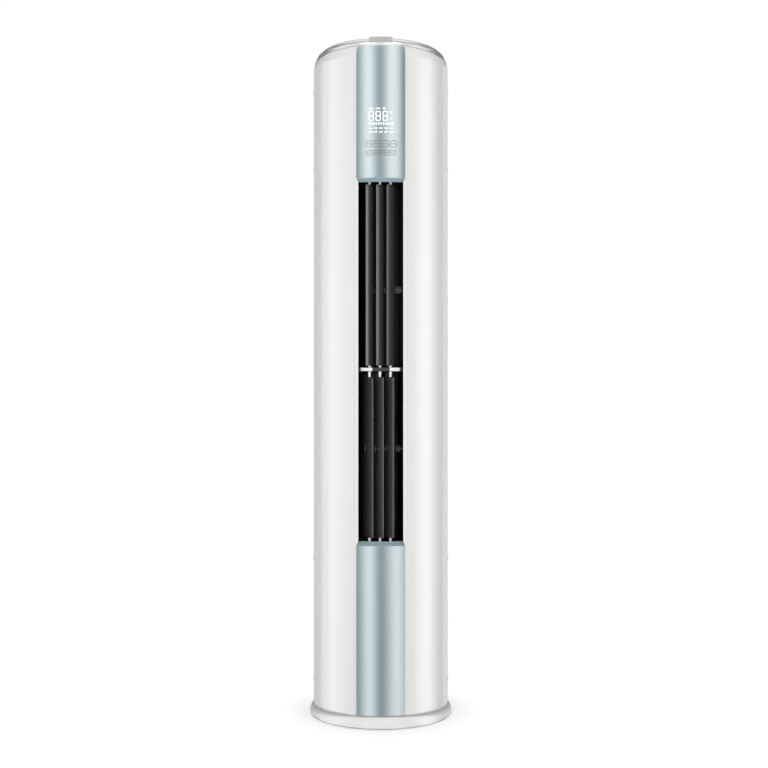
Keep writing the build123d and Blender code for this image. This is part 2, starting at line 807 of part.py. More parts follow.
def louvre_bushes():
    """A bush at each end of each blade, in the duct's floor and roof and in the bar, and the bar's clips."""
    seats = ((duct_roof, -1, duct_wall, blade_top_gap - bush_gap),
             (bar_top, 1, bar_height / 2 - bush_gap, blade_end_gap - bar_bush_gap),
             (bar_bottom, -1, bar_height / 2 - bush_gap, blade_end_gap + corner_height - bush_gap),
             (duct_floor, 1, duct_wall, blade_bottom_gap - bush_gap))
    return [bush(x, *seat) for x in louvre_x for seat in seats] + [bar_clip(*span) for span in clip_spans]


def louvre(x, ends, link_z, turn):
    """An upright blade with a pin at each end, and a boss and a notch with the link's pin half way up."""
    bottom, top = ends
    edge, bulge = blade_edge / 2, blade_thickness / 2
    middle = (blade_rear - blade_front) / 2
    outline = ThreePointArc((edge, -blade_front), (bulge + blade_camber, middle), (edge, blade_rear))
    outline += Line((edge, blade_rear), (-edge, blade_rear))
    outline += ThreePointArc((-edge, blade_rear), (blade_camber - bulge, middle), (-edge, -blade_front))
    outline += Line((-edge, -blade_front), (edge, -blade_front))
    blade = extrude(Pos(0, 0, bottom) * make_face(outline), top - bottom)
    boss = extrude(Plane.YZ * Ellipse(*boss_size), bulge + boss_rise, both=True)
    blade += Pos(0, boss_place, link_z) * boss
    if top < bar_centre:
        blade -= block((-blade_thickness, blade_thickness), (-blade_front - 1, corner_back),
                       (top - corner_height, top + 1))
        top -= corner_height
    notch = (link_z - notch_height / 2, link_z + notch_height / 2)
    blade -= block((-blade_thickness, blade_thickness), (notch_start, blade_rear + 1), notch)
    blade += rod(link_pin, 0, link_arm, notch[0] - 1, notch[1] + 1)
    low = chamber_floor if bottom < bar_centre else bar_centre + bush_gap
    high = chamber_roof if bottom > bar_centre else bar_centre - bush_gap
    blade += rod(blade_pin, 0, 0, low, bottom + 1) + rod(blade_pin, 0, 0, top - 1, high)
    return Pos(x, louvre_y, 0) * Rot(0, 0, turn) * blade


def arm_end(turn):
    """Where the link pin stands from its pivot when a blade is turned from straight."""
    angle = math.radians(turn)
    return -link_arm * math.sin(angle), link_arm * math.cos(angle)


def link_bar(link_z, turn, tab_back):
    """Bar over the three blade pins that runs out through the duct wall to the crank."""
    dx, dy = arm_end(turn)
    y = louvre_y + dy
    half, low, high = link_width / 2, link_z - link_thickness / 2, link_z + link_thickness / 2
    pins = [(x + dx, y) for x in louvre_x] + [(crank_x + dx, y + crank_y_offset)]
    bend = pins[3][0] - jog_length
    bar = block((pins[0][0], bend), (y - half, y + half), (low, high)) + rod(half, bend, y, low, high)
    run = math.hypot(jog_length, crank_y_offset)
    jog = Pos(bend, y, link_z) * Rot(0, 0, math.degrees(math.atan2(crank_y_offset, jog_length)))
    bar += jog * Pos(run / 2, 0, 0) * Box(run, link_width, link_thickness)
    for x, pin_y in (pins[0], pins[3]):
        bar += rod(half + link_end, x, pin_y, low, high)
    heel, tip = bend - tab_back - tab_heel, bend - tab_back - tab_width
    tab = block((tip, heel), (y - tab_wall / 2, y + tab_wall / 2),
                (link_z - tab_drop, link_z - tab_drop + tab_height))
    eye = Pos((tip + heel) / 2, y, link_z - tab_drop + tab_height * tab_eye_share)
    bar += tab - eye * Rot(90, 0, 0) * Cylinder(tab_hole, 2 * tab_wall)
    return bar - [rod(link_pin + running_gap, x, pin_y, low - 1, high + 1) for x, pin_y in pins]


def crank(link_z, turn):
    """Crank on the swing motor's shaft with the pin that drives the link bar."""
    top = crank_top(link_z)
    bottom = top - crank_thickness
    web = link_pin + crank_web
    body = rod(crank_hub, 0, 0, bottom, top) + rod(web, 0, link_arm, bottom, top)
    body += block((-web, web), (0, link_arm), (bottom, top))
    body += rod(link_pin, 0, link_arm, top, link_z + link_thickness / 2 + link_pin_rise)
    body -= rod(motor_shaft + clearance, 0, 0, bottom - 1, top - crank_cap)
    return Pos(crank_x, crank_y(), 0) * Rot(0, 0, turn) * body


def swing_motor(link_z):
    """Can motor with ears and an off-centre shaft, hung under its shelf."""
    top = shelf_top(link_z) - shelf_sheet
    centre = crank_y() + motor_shaft_offset
    body = rod(motor_radius, crank_x, centre, top - motor_height, top)
    body += block((crank_x - motor_ear, crank_x + motor_ear),
                  (centre - motor_ear_half_width, centre + motor_ear_half_width),
                  (top - motor_ear_sheet, top))
    back = centre + motor_radius
    plug = motor_plug_half_width
    body += block((crank_x - plug, crank_x + plug), (back - motor_plug_depth, back + motor_plug_depth),
                  (top - motor_height, top - motor_plug_depth))
    ear = motor_ear - motor_ear_half_width
    body -= [rod(motor_ear_hole, crank_x + side * ear, centre, top - 2 * motor_ear_sheet, top + 1)
             for side in (-1, 1)]
    return body + rod(motor_shaft, crank_x, crank_y(), top - 1, crank_top(link_z) - 2 * crank_cap)


# ---- Fan and air path -------------------------------------------------------------------------------

def crossflow_fan():
    """Long drum: forward-curved blades between discs, with a stub at each end."""
    bottom, top = chamber_floor + fan_end_gap, chamber_roof - fan_end_gap
    inner, outer = fan_radius - fan_blade_chord, fan_radius - fan_blade_wall / 2
    drum = Part()
    for step in range(fan_discs):
        z = bottom + (top - bottom - fan_disc) * step / (fan_discs - 1)
        ring = rod(fan_radius, 0, 0, z, z + fan_disc)
        if 0 < step < fan_discs - 1:
            ring -= rod(inner - fan_ring_wall, 0, 0, z - 1, z + fan_disc + 1)
        drum += ring
    middle = ((inner + outer) / 2, fan_blade_lean / 2 - fan_blade_sag)
    half = fan_blade_wall / 2
    outline = ThreePointArc((inner, -half), (middle[0], middle[1] - half), (outer, fan_blade_lean - half))
    outline += Line((outer, fan_blade_lean - half), (outer, fan_blade_lean + half))
    outline += ThreePointArc((outer, fan_blade_lean + half), (middle[0], middle[1] + half), (inner, half))
    outline += Line((inner, half), (inner, -half))
    blade = extrude(Pos(0, 0, bottom + fan_disc / 2) * make_face(outline), top - bottom - fan_disc)
    drum += [Rot(0, 0, 360 * step / fan_blades) * blade for step in range(fan_blades)]
    drum += rod(shaft_radius, 0, 0, chamber_floor - shaft_tail, bottom + 1)
    drum += rod(hub_radius, 0, 0, bottom, bottom + hub_height)
    drum += rod(shaft_radius, 0, 0, top - 1, partition_top + fan_motor_lift + shaft_engage)
    drum += rod(hub_radius, 0, 0, top - hub_height, top + hub_rise)
    return Pos(0, fan_y, 0) * drum


def volute_radius(azimuth, end_azimuth, end_radius):
    """Radius of the spiral from the fan's axis."""
    share = (azimuth - volute_start) / (end_azimuth - volute_start)
    start_radius = fan_radius + volute_gap
    return start_radius + (end_radius - start_radius) * share ** volute_growth


def polar(radius, azimuth):
    return radius * math.cos(math.radians(azimuth)), radius * math.sin(math.radians(azimuth))


def volute_wall():
    """Spiral wall that guides the air from the fan's rear into the duct."""
    end_x, end_y = -window_half_width, -duct_back + clearance - fan_y
    end_radius, end_azimuth = math.hypot(end_x, end_y), 180 + math.degrees(math.atan2(-end_y, -end_x))
    azimuths = [volute_start + (end_azimuth - volute_start) * step / (volute_points - 1)
                for step in range(volute_points)]
    inner = [polar(volute_radius(a, end_azimuth, end_radius), a) for a in azimuths]
    outer = [polar(volute_radius(a, end_azimuth, end_radius) + volute_sheet, a) for a in azimuths]
    outer[-1] = (inner[-1][0] - duct_wall, inner[-1][1])
    outline = Spline(*inner) + Line(inner[-1], outer[-1]) + Spline(*outer) + Line(outer[0], inner[0])
    return extrude(Pos(0, fan_y, chamber_floor) * make_face(outline), chamber_roof - chamber_floor)


def cutoff_tongue():
    """Wedge beside the fan that parts the outlet from the intake."""
    x, y = polar(fan_radius + tongue_gap, tongue_azimuth)
    y += fan_y
    wall, root = window_half_width, clearance - duct_back
    wing, back = wall + tongue_wing, y + tongue_wall
    outline = [(wall, root), (x + tongue_nose / 2, y - tongue_nose), (x, y), (x + tongue_nose, back),
               (wing, back), (wing, y), (x + 3 * tongue_nose, y), (wall + duct_wall, root)]
    return prism(outline, chamber_floor, chamber_roof)


def partition(bottom, hub_hole, pipes):
    """Round plate across the cabinet, notched for the columns."""
    through = (bottom - 1, bottom + partition_sheet + 1)
    plate = rod(disc_radius, 0, 0, bottom, bottom + partition_sheet)
    half, wide = column_depth / 2 + clearance, column_half_width + clearance
    for side in (-1, 1):
        middle = side * (column_face - column_depth / 2)
        plate -= block((middle - half, middle + half), (-wide, wide), through)
    plate -= rod(hub_hole, 0, fan_y, *through)
    for x, y, radius in pipes:
        plate -= rod(radius, x, y, *through)
    return plate


def upper_partition():
    return partition(chamber_roof, hub_radius + hub_gap, [])


def lower_partition():
    gas, liquid, drain = riser(1), riser(-1), drain_place()
    return partition(chamber_floor - partition_sheet, hub_radius,
                     [(*gas, gas_pipe_radius + pipe_play), (*liquid, liquid_pipe_radius + pipe_play),
                      (*drain, drain_radius + drain_shoulder + clearance)])


def fan_bearing():
    """Rubber bush round the fan's lower stub, held in the lower partition."""
    under = chamber_floor - partition_sheet
    ring = rod(hub_radius - clearance, 0, fan_y, under - bearing_depth, chamber_floor)
    ring += rod(hub_radius + bearing_flange, 0, fan_y, under - bearing_depth, under - clearance)
    return ring - rod(shaft_radius + shaft_play, 0, fan_y, under - bearing_depth - 1, chamber_floor + 1)


def bearing_bracket():
    """Steel cup screwed under the lower partition round the bearing."""
    top = chamber_floor - partition_sheet
    floor = top - bearing_depth - bracket_sheet
    hole, outer = shaft_radius + bracket_opening, hub_radius + bracket_gap
    cup = section((hole, floor - bracket_sheet / 2), (outer, floor - bracket_sheet / 2),
                  (outer, top - bracket_sheet), (outer + bracket_flange, top - bracket_sheet),
                  (outer + bracket_flange, top),
                  (outer - bracket_sheet, top), (outer - bracket_sheet, floor + bracket_sheet / 2),
                  (hole, floor + bracket_sheet / 2))
    return Pos(0, fan_y, 0) * revolve(cup, Axis.Z)


def fan_motor():
    """Round motor over the fan, with a bore for the shaft and a domed cap."""
    bottom = partition_top + fan_motor_lift
    top = bottom + fan_motor_height
    waist, shoulder, crown = [bottom + fan_motor_height * share
                              for share in (fan_motor_waist, fan_motor_shoulder, fan_motor_crown)]
    side, boss = fan_motor_radius, fan_motor_boss
    shape = section((0, bottom), (side, bottom), (side, waist), (side - fan_motor_step, shoulder),
                    (side - fan_motor_step, crown), (side - fan_motor_round, top),
                    (boss + fan_motor_boss_draft, top), (boss, top + fan_motor_boss_height),
                    (0, top + fan_motor_boss_height))
    bore = rod(shaft_radius + clearance, 0, 0, bottom - 1, bottom + shaft_engage + 2)
    return Pos(0, fan_y, 0) * (revolve(shape, Axis.Z) - bore)


def motor_mount():
    """Flanged cup on the upper partition that holds the fan motor."""
    inner, base = fan_motor_radius + clearance, partition_top
    outer, hole = inner + mount_wall, inner - mount_ledge
    ledge = base + fan_motor_lift - clearance
    cup = section((hole, base), (outer + mount_flange, base), (outer + mount_flange, base + mount_wall),
                  (outer, base + mount_wall), (outer, base + mount_cup), (inner, base + mount_cup),
                  (inner, ledge), (hole, ledge))
    return Pos(0, fan_y, 0) * revolve(cup, Axis.Z)


# ---- Coil, drain and pipes --------------------------------------------------------------------------

def slab_azimuths():
    return [REAR + step * coil_turn for step in (-1, 0, 1)]


def slab(bottom, top, depth, half):
    """A block across the radius at the coil's distance, made along +X."""
    return block((coil_radius - depth / 2, coil_radius + depth / 2), (-half, half), (bottom, top))


def evaporator_fins():
    """Three upright fin packs that wrap the fan's rear."""
    return [Rot(0, 0, a) * slab(coil_bottom, coil_top, coil_depth, coil_half) for a in slab_azimuths()]


def coil_end_plates():
    plates = []
    for a in slab_azimuths():
        for z in (coil_bottom - plate_sheet, coil_top):
            plates.append(Rot(0, 0, a) * slab(z, z + plate_sheet, coil_depth + plate_sheet, coil_half))
    return plates


def return_bends():
    """Copper bends that join neighbouring tubes over the top plates."""
    seat = coil_top + plate_sheet
    reach, knee = bend_pitch / 2, bend_pitch / 2 * bend_knee
    path = Polyline((0, reach, 0), (0, reach, knee), (0, knee, reach), (0, -knee, reach), (0, -reach, knee),
                    (0, -reach, 0))
    start = Plane(origin=path @ 0, z_dir=path % 0)
    bend = sweep(start * Circle(bend_radius), path=path, transition=Transition.RIGHT)
    bends = []
    for a in slab_azimuths():
        for step in range(bends_per_slab):
            y = (step - (bends_per_slab - 1) / 2) * 2 * bend_pitch
            bends.append(Rot(0, 0, a) * Pos(coil_radius, y, seat) * bend)
    return bends


def coil_end(reach):
    """Plan place off the end of an outer slab, at a distance from the slab's middle."""
    azimuth = math.radians(REAR - coil_turn)
    along = coil_radius - riser_inset
    return (along * math.cos(azimuth) + reach * math.sin(azimuth),
            along * math.sin(azimuth) - reach * math.cos(azimuth))


def riser(side):
    """Plan place of the upright run of a coil pipe, clear of the columns and the tray."""
    x, y = coil_end(coil_half + riser_reach)
    room = gas_pipe_radius + clearance
    return side * min(x, column_inner - room), min(y, tray_front - room)


def coil_pipe(side, radius, join_z, run_z, union_x):
    """Pipe from a coil end, down through the lower partition and across to its union."""
    x, y = riser(side)
    start_x, start_y = coil_end(coil_half)
    start = (side * start_x, start_y, join_z)
    path = FilletPolyline(start, (x, y, join_z), (x, y, run_z), (union_x, union_y, run_z),
                          (union_x, union_y, union_height), radius=pipe_bend * radius)
    return sweep(Plane(origin=path @ 0, z_dir=path % 0) * Circle(radius), path=path)


def coil_pipes():
    """The thick gas pipe on the right and the thin liquid pipe on the left."""
    return [coil_pipe(1, gas_pipe_radius, gas_join, gas_run, gas_union_x),
            coil_pipe(-1, liquid_pipe_radius, liquid_join, liquid_run, liquid_union_x)]


def flare_unions():
    """Brass unions on the pipes' lower ends: a hexagon over a threaded spigot."""
    unions = []
    for x, radius in ((gas_union_x, gas_pipe_radius), (liquid_union_x, liquid_pipe_radius)):
        spigot_end = -union_nut - union_spigot
        hexagon = RegularPolygon(radius + union_shoulder, 6, major_radius=False)
        nut = extrude(Pos(0, 0, -union_nut) * hexagon, union_nut)
        nut += rod(radius + union_thread, 0, 0, spigot_end, -union_nut + 1)
        nut += rod(radius + union_thread / 2, 0, 0, spigot_end - union_nose, spigot_end + 1)
        unions.append(Pos(x, union_y, union_height) * nut)
    return unions


def drain_place():
    return polar(coil_radius, drain_azimuth)


def half_ring(inner, outer, front, bottom, top):
    """The part of a ring that lies behind a front edge."""
    ring = rod(outer, 0, 0, bottom, top) - rod(inner, 0, 0, bottom - 1, top + 1)
    return ring & block((-outer, outer), (front, outer), (bottom, top))


def drain_pan():
    """Half-ring tray under the coil, with ribs that the coil stands on and a hole over the spigot."""
    rim = chamber_floor + tray_depth
    tray = half_ring(tray_inner, tray_outer, tray_front, chamber_floor, rim)
    tray -= half_ring(tray_inner + tray_wall, tray_outer - tray_wall, tray_front + tray_wall,
                      tray_floor, rim + 1)
    rib = block((tray_inner + 1, tray_outer - 1), (-tray_rib_half_width, tray_rib_half_width),
                (chamber_floor + tray_wall / 2, tray_floor + tray_rib))
    tray += [Rot(0, 0, a + step) * rib for a in slab_azimuths() for step in (-tray_rib_turn, tray_rib_turn)]
    return tray - rod(drain_bore, *drain_place(), chamber_floor - 1, tray_floor + 1)


def drain_spigot():
    """Drain stub that hangs from the tray through the lower partition, stepped down for the hose."""
    r, shoulder, low = drain_radius, drain_radius + drain_shoulder, -drain_length
    stub = section((drain_bore, 0), (shoulder, 0), (shoulder, -partition_sheet), (r, -partition_sheet),
                   (r, low + drain_chamfer), (r - drain_chamfer, low), (drain_bore, low))
    return Pos(*drain_place(), chamber_floor) * revolve(stub, Axis.Z)


# ---- Rear intake ------------------------------------------------------------------------------------

def peg_x():
    return (return_inner + body_radius - casing_wall) / 2


def peg_levels():
    """Heights of the four pegs of each grille."""
    return [z for low, high in grille_spans() for z in (low + peg_inset, high - peg_inset)]


def grille_spans():
    return ((intake_bottom, intake_middle - seam / 2), (intake_middle + seam / 2, intake_top))


def intake_grille(bottom, top):
    """Half-round slotted panel that pulls off to the rear on four pegs."""
    gap = seam_angle()
    shell = panel(bottom, top, gap, 180 - gap, grille_wall, True, False)
    cap = skin_face(top - casing_wall, top, grille_wall / 2, return_depth - grille_wall / 2)
    shell += turned(cap, gap, 180 - gap)
    bay = (top - bottom - 2 * grille_border - (slot_rows - 1) * slot_bridge) / slot_rows
    slots = []
    for row in range(slot_rows):
        z = bottom + grille_border + row * (bay + slot_bridge)
        cutter = block((body_radius - 2 * grille_wall, body_radius + 1), (-slot_width / 2, slot_width / 2),
                       (z, z + bay))
        slots += [Rot(0, 0, REAR + (step - (slot_columns - 1) / 2) * slot_pitch) * cutter
                  for step in range(slot_columns)]
    shell -= slots
    for side in (-1, 1):
        for z in (bottom + peg_inset, top - peg_inset):
            peg = Rot(90, 0, 0) * Cylinder(peg_radius, peg_length)
            shell += Pos(side * peg_x(), return_sheet / 2 - peg_length / 2, z) * peg
    return shell


def filter_frame(bottom, top):
    """Curved ribbed frame held between the grille's end flanges."""
    low, high = bottom + casing_wall + clearance, top - casing_wall - clearance
    start, end = REAR - filter_half_angle, REAR + filter_half_angle
    frame = turned(skin_face(low, high, filter_depth, filter_thickness), start, end)
    border = math.degrees(filter_border / body_radius)
    rib = math.degrees(filter_rib / body_radius)
    bay_turn = (end - start - 2 * border - (filter_bays - 1) * rib) / filter_bays
    bay = (high - low - 2 * filter_border - (filter_rows - 1) * filter_rib) / filter_rows
    for column_step in range(filter_bays):
        for row in range(filter_rows):
            a = start + border + column_step * (bay_turn + rib)
            z = low + filter_border + row * (bay + filter_rib)
            opening = skin_face(z, z + bay, filter_depth - 1, filter_thickness + 2)
            frame -= turned(opening, a, a + bay_turn)
    return frame


def filter_mesh(bottom, top):
    """Fine net laid on the inner side of the filter frame."""
    low, high = bottom + casing_wall + 1, top - casing_wall - 1
    half = filter_half_angle - 1
    return turned(skin_face(low, high, filter_depth + filter_thickness, mesh_sheet), REAR - half, REAR + half)


def pipe_hole_bushing():
    """Grommet in the rear cover's pipe hole."""
    rim = body_radius + bushing_rim
    ring = across(pipe_hole_radius, return_inner, body_radius + clearance)
    ring += across(pipe_hole_radius + bushing_lip, body_radius + clearance, rim)
    bore = across(pipe_hole_radius - bushing_wall, return_inner - 1, rim + 1)
    return radial(ring - bore, REAR, pipe_hole_height)


def cable_gland():
    """Gland for the mains lead in the rear cover: a sleeve, a hexagon each side of the sheet and a dome."""
    inside = body_radius - casing_wall - 1
    face = body_radius + clearance
    tip = face + 2 * gland_nut
    flats = RegularPolygon(gland_radius + gland_flats, 6, major_radius=False)
    hexagon = Rot(0, 90, 0) * extrude(flats, gland_nut)
    body = across(gland_radius, inside - 2 * gland_nut, face + 1)
    body += Pos(face, 0, 0) * hexagon + Pos(inside - gland_nut, 0, 0) * hexagon
    body += across(gland_radius - gland_step, face + 1, tip)
    body -= across(gland_bore, inside - 2 * gland_nut - 1, tip + 1)
    return radial(body, gland_azimuth, gland_height)


# ---- Head: controls and display ----------------------------------------------------------------------

def control_shelf():
    """Folded plate between the columns that carries the control box."""
    half = column_face - column_depth - clearance
    plate = block((-half, half), (-shelf_half_depth, shelf_half_depth), (shelf_bottom, box_base()))
    fold = half - shelf_fold_inset
    for y in (-shelf_half_depth, shelf_half_depth - frame_sheet):
        plate += block((-fold, fold), (y, y + frame_sheet), (shelf_bottom - shelf_fold, shelf_bottom + 1))
    return plate


def box_base():
    return shelf_bottom + frame_sheet


def control_box():
    """Sheet box on the shelf, open to the front."""
    bottom, top = box_base(), box_base() + box_height
    half = box_half_width - box_sheet
    outer = block((-box_half_width, box_half_width), (-box_front, -box_rear), (bottom, top))
    return outer - block((-half, half), (-box_front - 1, -box_rear - box_sheet),
                         (bottom + box_sheet, top - box_sheet))


def control_box_cover():
    """Lid over the box's open front, with a fold along its lower edge."""
    bottom, top = box_base() + box_sheet, box_base() + box_height
    front = -box_front - clearance
    half = box_half_width
    cover = block((-half, half), (front - box_sheet, front), (bottom, top))
    return cover + block((-half, half), (front - cover_fold, front), (bottom, bottom + box_sheet))


def main_board():
    """Circuit board on pillars inside the control box, with its transformer and relay block."""
    back = -box_rear - box_sheet
    half = box_half_width - box_sheet - board_margin
    bottom, top = box_base() + box_sheet + board_margin, box_base() + box_height - box_sheet - board_margin
    face = back - board_standoff - board_sheet
    board = block((-half, half), (face, back - board_standoff), (bottom, top))
    pillar = Rot(90, 0, 0) * Cylinder(board_pillar, board_standoff)
    for x in (board_margin - half, half - board_margin):
        for z in (bottom + board_margin, top - board_margin):
            board += Pos(x, back - board_standoff / 2, z) * pillar
    parts = ((transformer_place, transformer_size), (relay_place, relay_size))
    for (x, z), (width, depth, height) in parts:
        board += block((x, x + width), (face - depth, face), (bottom + z, bottom + z + height))
    return board


def capacitor():
    """Fan motor's capacitor, standing on the shelf beside the box, with two tags."""
    x, top = box_half_width + capacitor_gap + capacitor_radius, box_base() + capacitor_height
    body = rod(capacitor_radius, x, 0, box_base(), top)
    for side in (-1, 1):
        tag = x + side * capacitor_radius / 2
        body += block((tag - tag_half_width, tag + tag_half_width), (-tag_sheet / 2, tag_sheet / 2),
                      (top - 1, top + tag_height))
    return body


def terminal_block():
    """Barrier strip for the mains and outdoor leads on the shelf."""
    left = -box_half_width - strip_gap - strip_width
    right, start = left + strip_width, -strip_length / 2
    strip = block((left, right), (start, -start), (box_base(), box_base() + strip_height))
    for step in range(terminals + 1):
        y = start + step * (strip_length - barrier_sheet) / terminals
        strip += block((left, right), (y, y + barrier_sheet),
                       (box_base() + strip_height - 1, box_base() + strip_height + barrier_height))
    return strip


def room_sensor():
    """Bead that senses the room's air behind the upper grille, on a clip on the coil's end plate."""
    x, y = polar(coil_radius + coil_depth / 2 - sensor_inset, REAR)
    base = coil_top + plate_sheet
    clip = block((x - sensor_radius, x + sensor_radius), (y - sensor_radius, y + sensor_radius),
                 (base, base + sensor_clip_height))
    return clip + rod(sensor_radius / 2, x, y, base, base + sensor_height)


def display_front():
    """Depth at which the display's flat tray meets the round frame."""
    return -math.sqrt((frame_inner - clearance) ** 2 - display_half_width ** 2)


def display_housing():
    """Tray behind the upper panel that holds the display board against the frame's opening."""
    bottom = window_top + display_bottom
    top, half, front = bottom + display_height, display_half_width, display_front()
    tray = block((-half, half), (front, front + display_depth), (bottom, top))
    back = front + display_depth - tray_sheet
    return tray - block((tray_sheet - half, half - tray_sheet), (front - 1, back),
                        (bottom + tray_sheet, top - tray_sheet))


def display_board():
    """Board in the tray with the block of digits on its face."""
    inset = tray_sheet + clearance
    bottom = window_top + display_bottom + inset
    half, height = display_half_width - inset, display_height - 2 * inset
    back = display_front() + display_depth - tray_sheet
    board = block((-half, half), (back - board_sheet, back), (bottom, bottom + height))
    half -= board_margin
    digits = (bottom + height * digits_share, bottom + height * digits_share + digits_height)
    return board + block((-half, half), (back - board_sheet - digits_depth, back - board_sheet), digits)


# ---- Nodes -----------------------------------------------------------------------------------------

nodes = {
    "swing_motors": [swing_motor(upper_link_z), swing_motor(lower_link_z)],
    "foot_pads": foot_pads(),
    "base_pan": base_pan(),
    "base_skirt": base_skirt(),
    "side_columns": [column(-1), column(1)],
    "top_frame": top_frame(),
    "left_side_casing": side_casing(-1),
    "right_side_casing": side_casing(1),
    "rear_lower_cover": rear_lower_cover(),
    "rear_upper_cover": rear_upper_cover(),
    "front_frame": front_frame(),
    "upper_front_panel": upper_front_panel(),
    "lower_front_panel": lower_front_panel(),
    "top_trim_ring": top_trim_ring(),
    "top_lid": top_lid(),
    "receiver_window": receiver_window(),
    "outlet_duct": outlet_duct(),
    "centre_bar": centre_bar(),
    "louvre_bushes": louvre_bushes(),
    "crossflow_fan": crossflow_fan(),
    "volute_wall": volute_wall(),
    "cutoff_tongue": cutoff_tongue(),
    "upper_partition": upper_partition(),
    "lower_partition": lower_partition(),
    "fan_bearing": fan_bearing(),
    "bearing_bracket": bearing_bracket(),
    "fan_motor": fan_motor(),
    "motor_mount": motor_mount(),
    "evaporator_fins": evaporator_fins(),
    "coil_end_plates": coil_end_plates(),
    "return_bends": return_bends(),
    "coil_pipes": coil_pipes(),
    "flare_unions": flare_unions(),
    "drain_pan": drain_pan(),
    "drain_spigot": drain_spigot(),
    "pipe_hole_bushing": pipe_hole_bushing(),
    "cable_gland": cable_gland(),
    "control_shelf": control_shelf(),
    "control_box": control_box(),
    "control_box_cover": control_box_cover(),
    "main_board": main_board(),
    "capacitor": capacitor(),
    "terminal_block": terminal_block(),
    "display_housing": display_housing(),
    "display_board": display_board(),
    "room_sensor": room_sensor(),
}

groups = (("upper", upper_blade, upper_link_z, -rest_swing, upper_tab_back),
          ("lower", lower_blade, lower_link_z, rest_swing, lower_tab_back))
for name, ends, link_z, turn, tab_back in groups:
    for place, x in zip(("left", "centre", "right"), louvre_x):
        nodes[f"{name}_louvre_{place}"] = louvre(x, ends, link_z, turn)
    nodes[f"{name}_link_bar"] = link_bar(link_z, turn, tab_back)
    nodes[f"{name}_crank"] = crank(link_z, turn)

for name, span in zip(("lower", "upper"), grille_spans()):
    nodes[f"{name}_intake_grille"] = intake_grille(*span)
    nodes[f"{name}_filter"] = [filter_frame(*span), filter_mesh(*span)]

os.makedirs("parts", exist_ok=True)
for name, shape in nodes.items():
    solids = [s for piece in (shape if isinstance(shape, list) else [shape]) for s in piece.solids()]
    export_step(Compound(children=solids) if len(solids) > 1 else solids[0], f"parts/{name}.step")
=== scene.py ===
import json
import math

import bmesh
import bpy
from mathutils import Matrix, Vector


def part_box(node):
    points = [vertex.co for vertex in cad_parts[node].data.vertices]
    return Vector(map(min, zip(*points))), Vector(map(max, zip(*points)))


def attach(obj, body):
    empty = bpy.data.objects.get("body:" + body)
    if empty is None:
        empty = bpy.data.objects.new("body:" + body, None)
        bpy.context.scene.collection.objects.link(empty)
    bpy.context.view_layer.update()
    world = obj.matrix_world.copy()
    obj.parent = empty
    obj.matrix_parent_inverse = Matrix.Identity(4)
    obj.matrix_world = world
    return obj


# Floor standing air conditioner: finishes, printed marks, trim, screws, studio and camera. In metres.

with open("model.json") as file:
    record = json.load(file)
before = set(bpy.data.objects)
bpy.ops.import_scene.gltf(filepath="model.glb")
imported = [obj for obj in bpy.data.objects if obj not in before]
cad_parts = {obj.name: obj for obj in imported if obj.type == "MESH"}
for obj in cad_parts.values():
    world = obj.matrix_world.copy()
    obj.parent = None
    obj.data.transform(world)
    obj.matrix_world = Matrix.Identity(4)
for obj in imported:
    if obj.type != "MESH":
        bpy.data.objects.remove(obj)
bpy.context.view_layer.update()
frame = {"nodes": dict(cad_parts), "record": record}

# ---- Sizes taken from the frame ---------------------------------------------------------------------

MM = 0.001
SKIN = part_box("upper_intake_grille")[1][0]             # outer radius of the casing
CASING_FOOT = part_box("left_side_casing")[0][2]
CASING_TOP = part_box("left_side_casing")[1][2]
LOWER_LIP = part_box("lower_front_panel")[1][2] - 11 * MM
UPPER_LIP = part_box("upper_front_panel")[0][2] + 9 * MM
BETWEEN_LIPS = (LOWER_LIP + UPPER_LIP) * 0.5
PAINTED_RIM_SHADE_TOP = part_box("base_skirt")[0][2] + 2.6 * MM      # top of the painted shade along the foot's lower rim

# ---- Nodes ------------------------------------------------------------------------------------------


class Value:
    """A socket. Arithmetic on it adds the Math nodes that the expression stands for."""

    def __init__(self, nodes, socket):
        self.nodes = nodes
        self.socket = socket

    def __add__(self, other):
        return self.nodes.maths("ADD", self, other)

    def __radd__(self, other):
        return self.nodes.maths("ADD", other, self)

    def __sub__(self, other):
        return self.nodes.maths("SUBTRACT", self, other)

    def __rsub__(self, other):
        return self.nodes.maths("SUBTRACT", other, self)

    def __mul__(self, other):
        return self.nodes.maths("MULTIPLY", self, other)

    def __rmul__(self, other):
        return self.nodes.maths("MULTIPLY", other, self)

    def __gt__(self, other):
        return self.nodes.maths("GREATER_THAN", self, other)

    def __lt__(self, other):
        return self.nodes.maths("LESS_THAN", self, other)

    def larger(self, other):
        """The larger of two values."""
        return self.nodes.maths("MAXIMUM", self, other)

    def root(self):
        """The square root of the value."""
        return self.nodes.maths("SQRT", self)

    def limited(self):
        """The value kept between 0 and 1."""
        return self.nodes.node("ShaderNodeClamp", {}, {"Value": self})

    def wrapped(self, period):
        """Place within a period, from 0 to 1."""
        return self.nodes.maths("FRACT", self * (1 / period))


class Nodes:
    """The nodes of a finish or of the world."""

    def __init__(self, tree):
        self.tree = tree

    def connect(self, socket, value):
        """Links a value to a socket, or sets the socket to a plain number or colour."""
        if isinstance(value, Value):
            self.tree.links.new(value.socket, socket)
        else:
            socket.default_value = value

    def node(self, kind, settings, inputs, output=0):
        """Adds a node: its settings first, then the values or links of its sockets."""
        node = self.tree.nodes.new(kind)
        for key, value in settings.items():
            setattr(node, key, value)
        for key, value in inputs.items():
            self.connect(node.inputs[key], value)
        return Value(self, node.outputs[output])

    def maths(self, operation, *operands):
        """Adds a Math node."""
        return self.node("ShaderNodeMath", {"operation": operation}, dict(enumerate(operands)))

    def ray(self, kind):
        """1 for the rays of a kind, and 0 for all others."""
        return self.node("ShaderNodeLightPath", {}, {}, f"Is {kind} Ray")


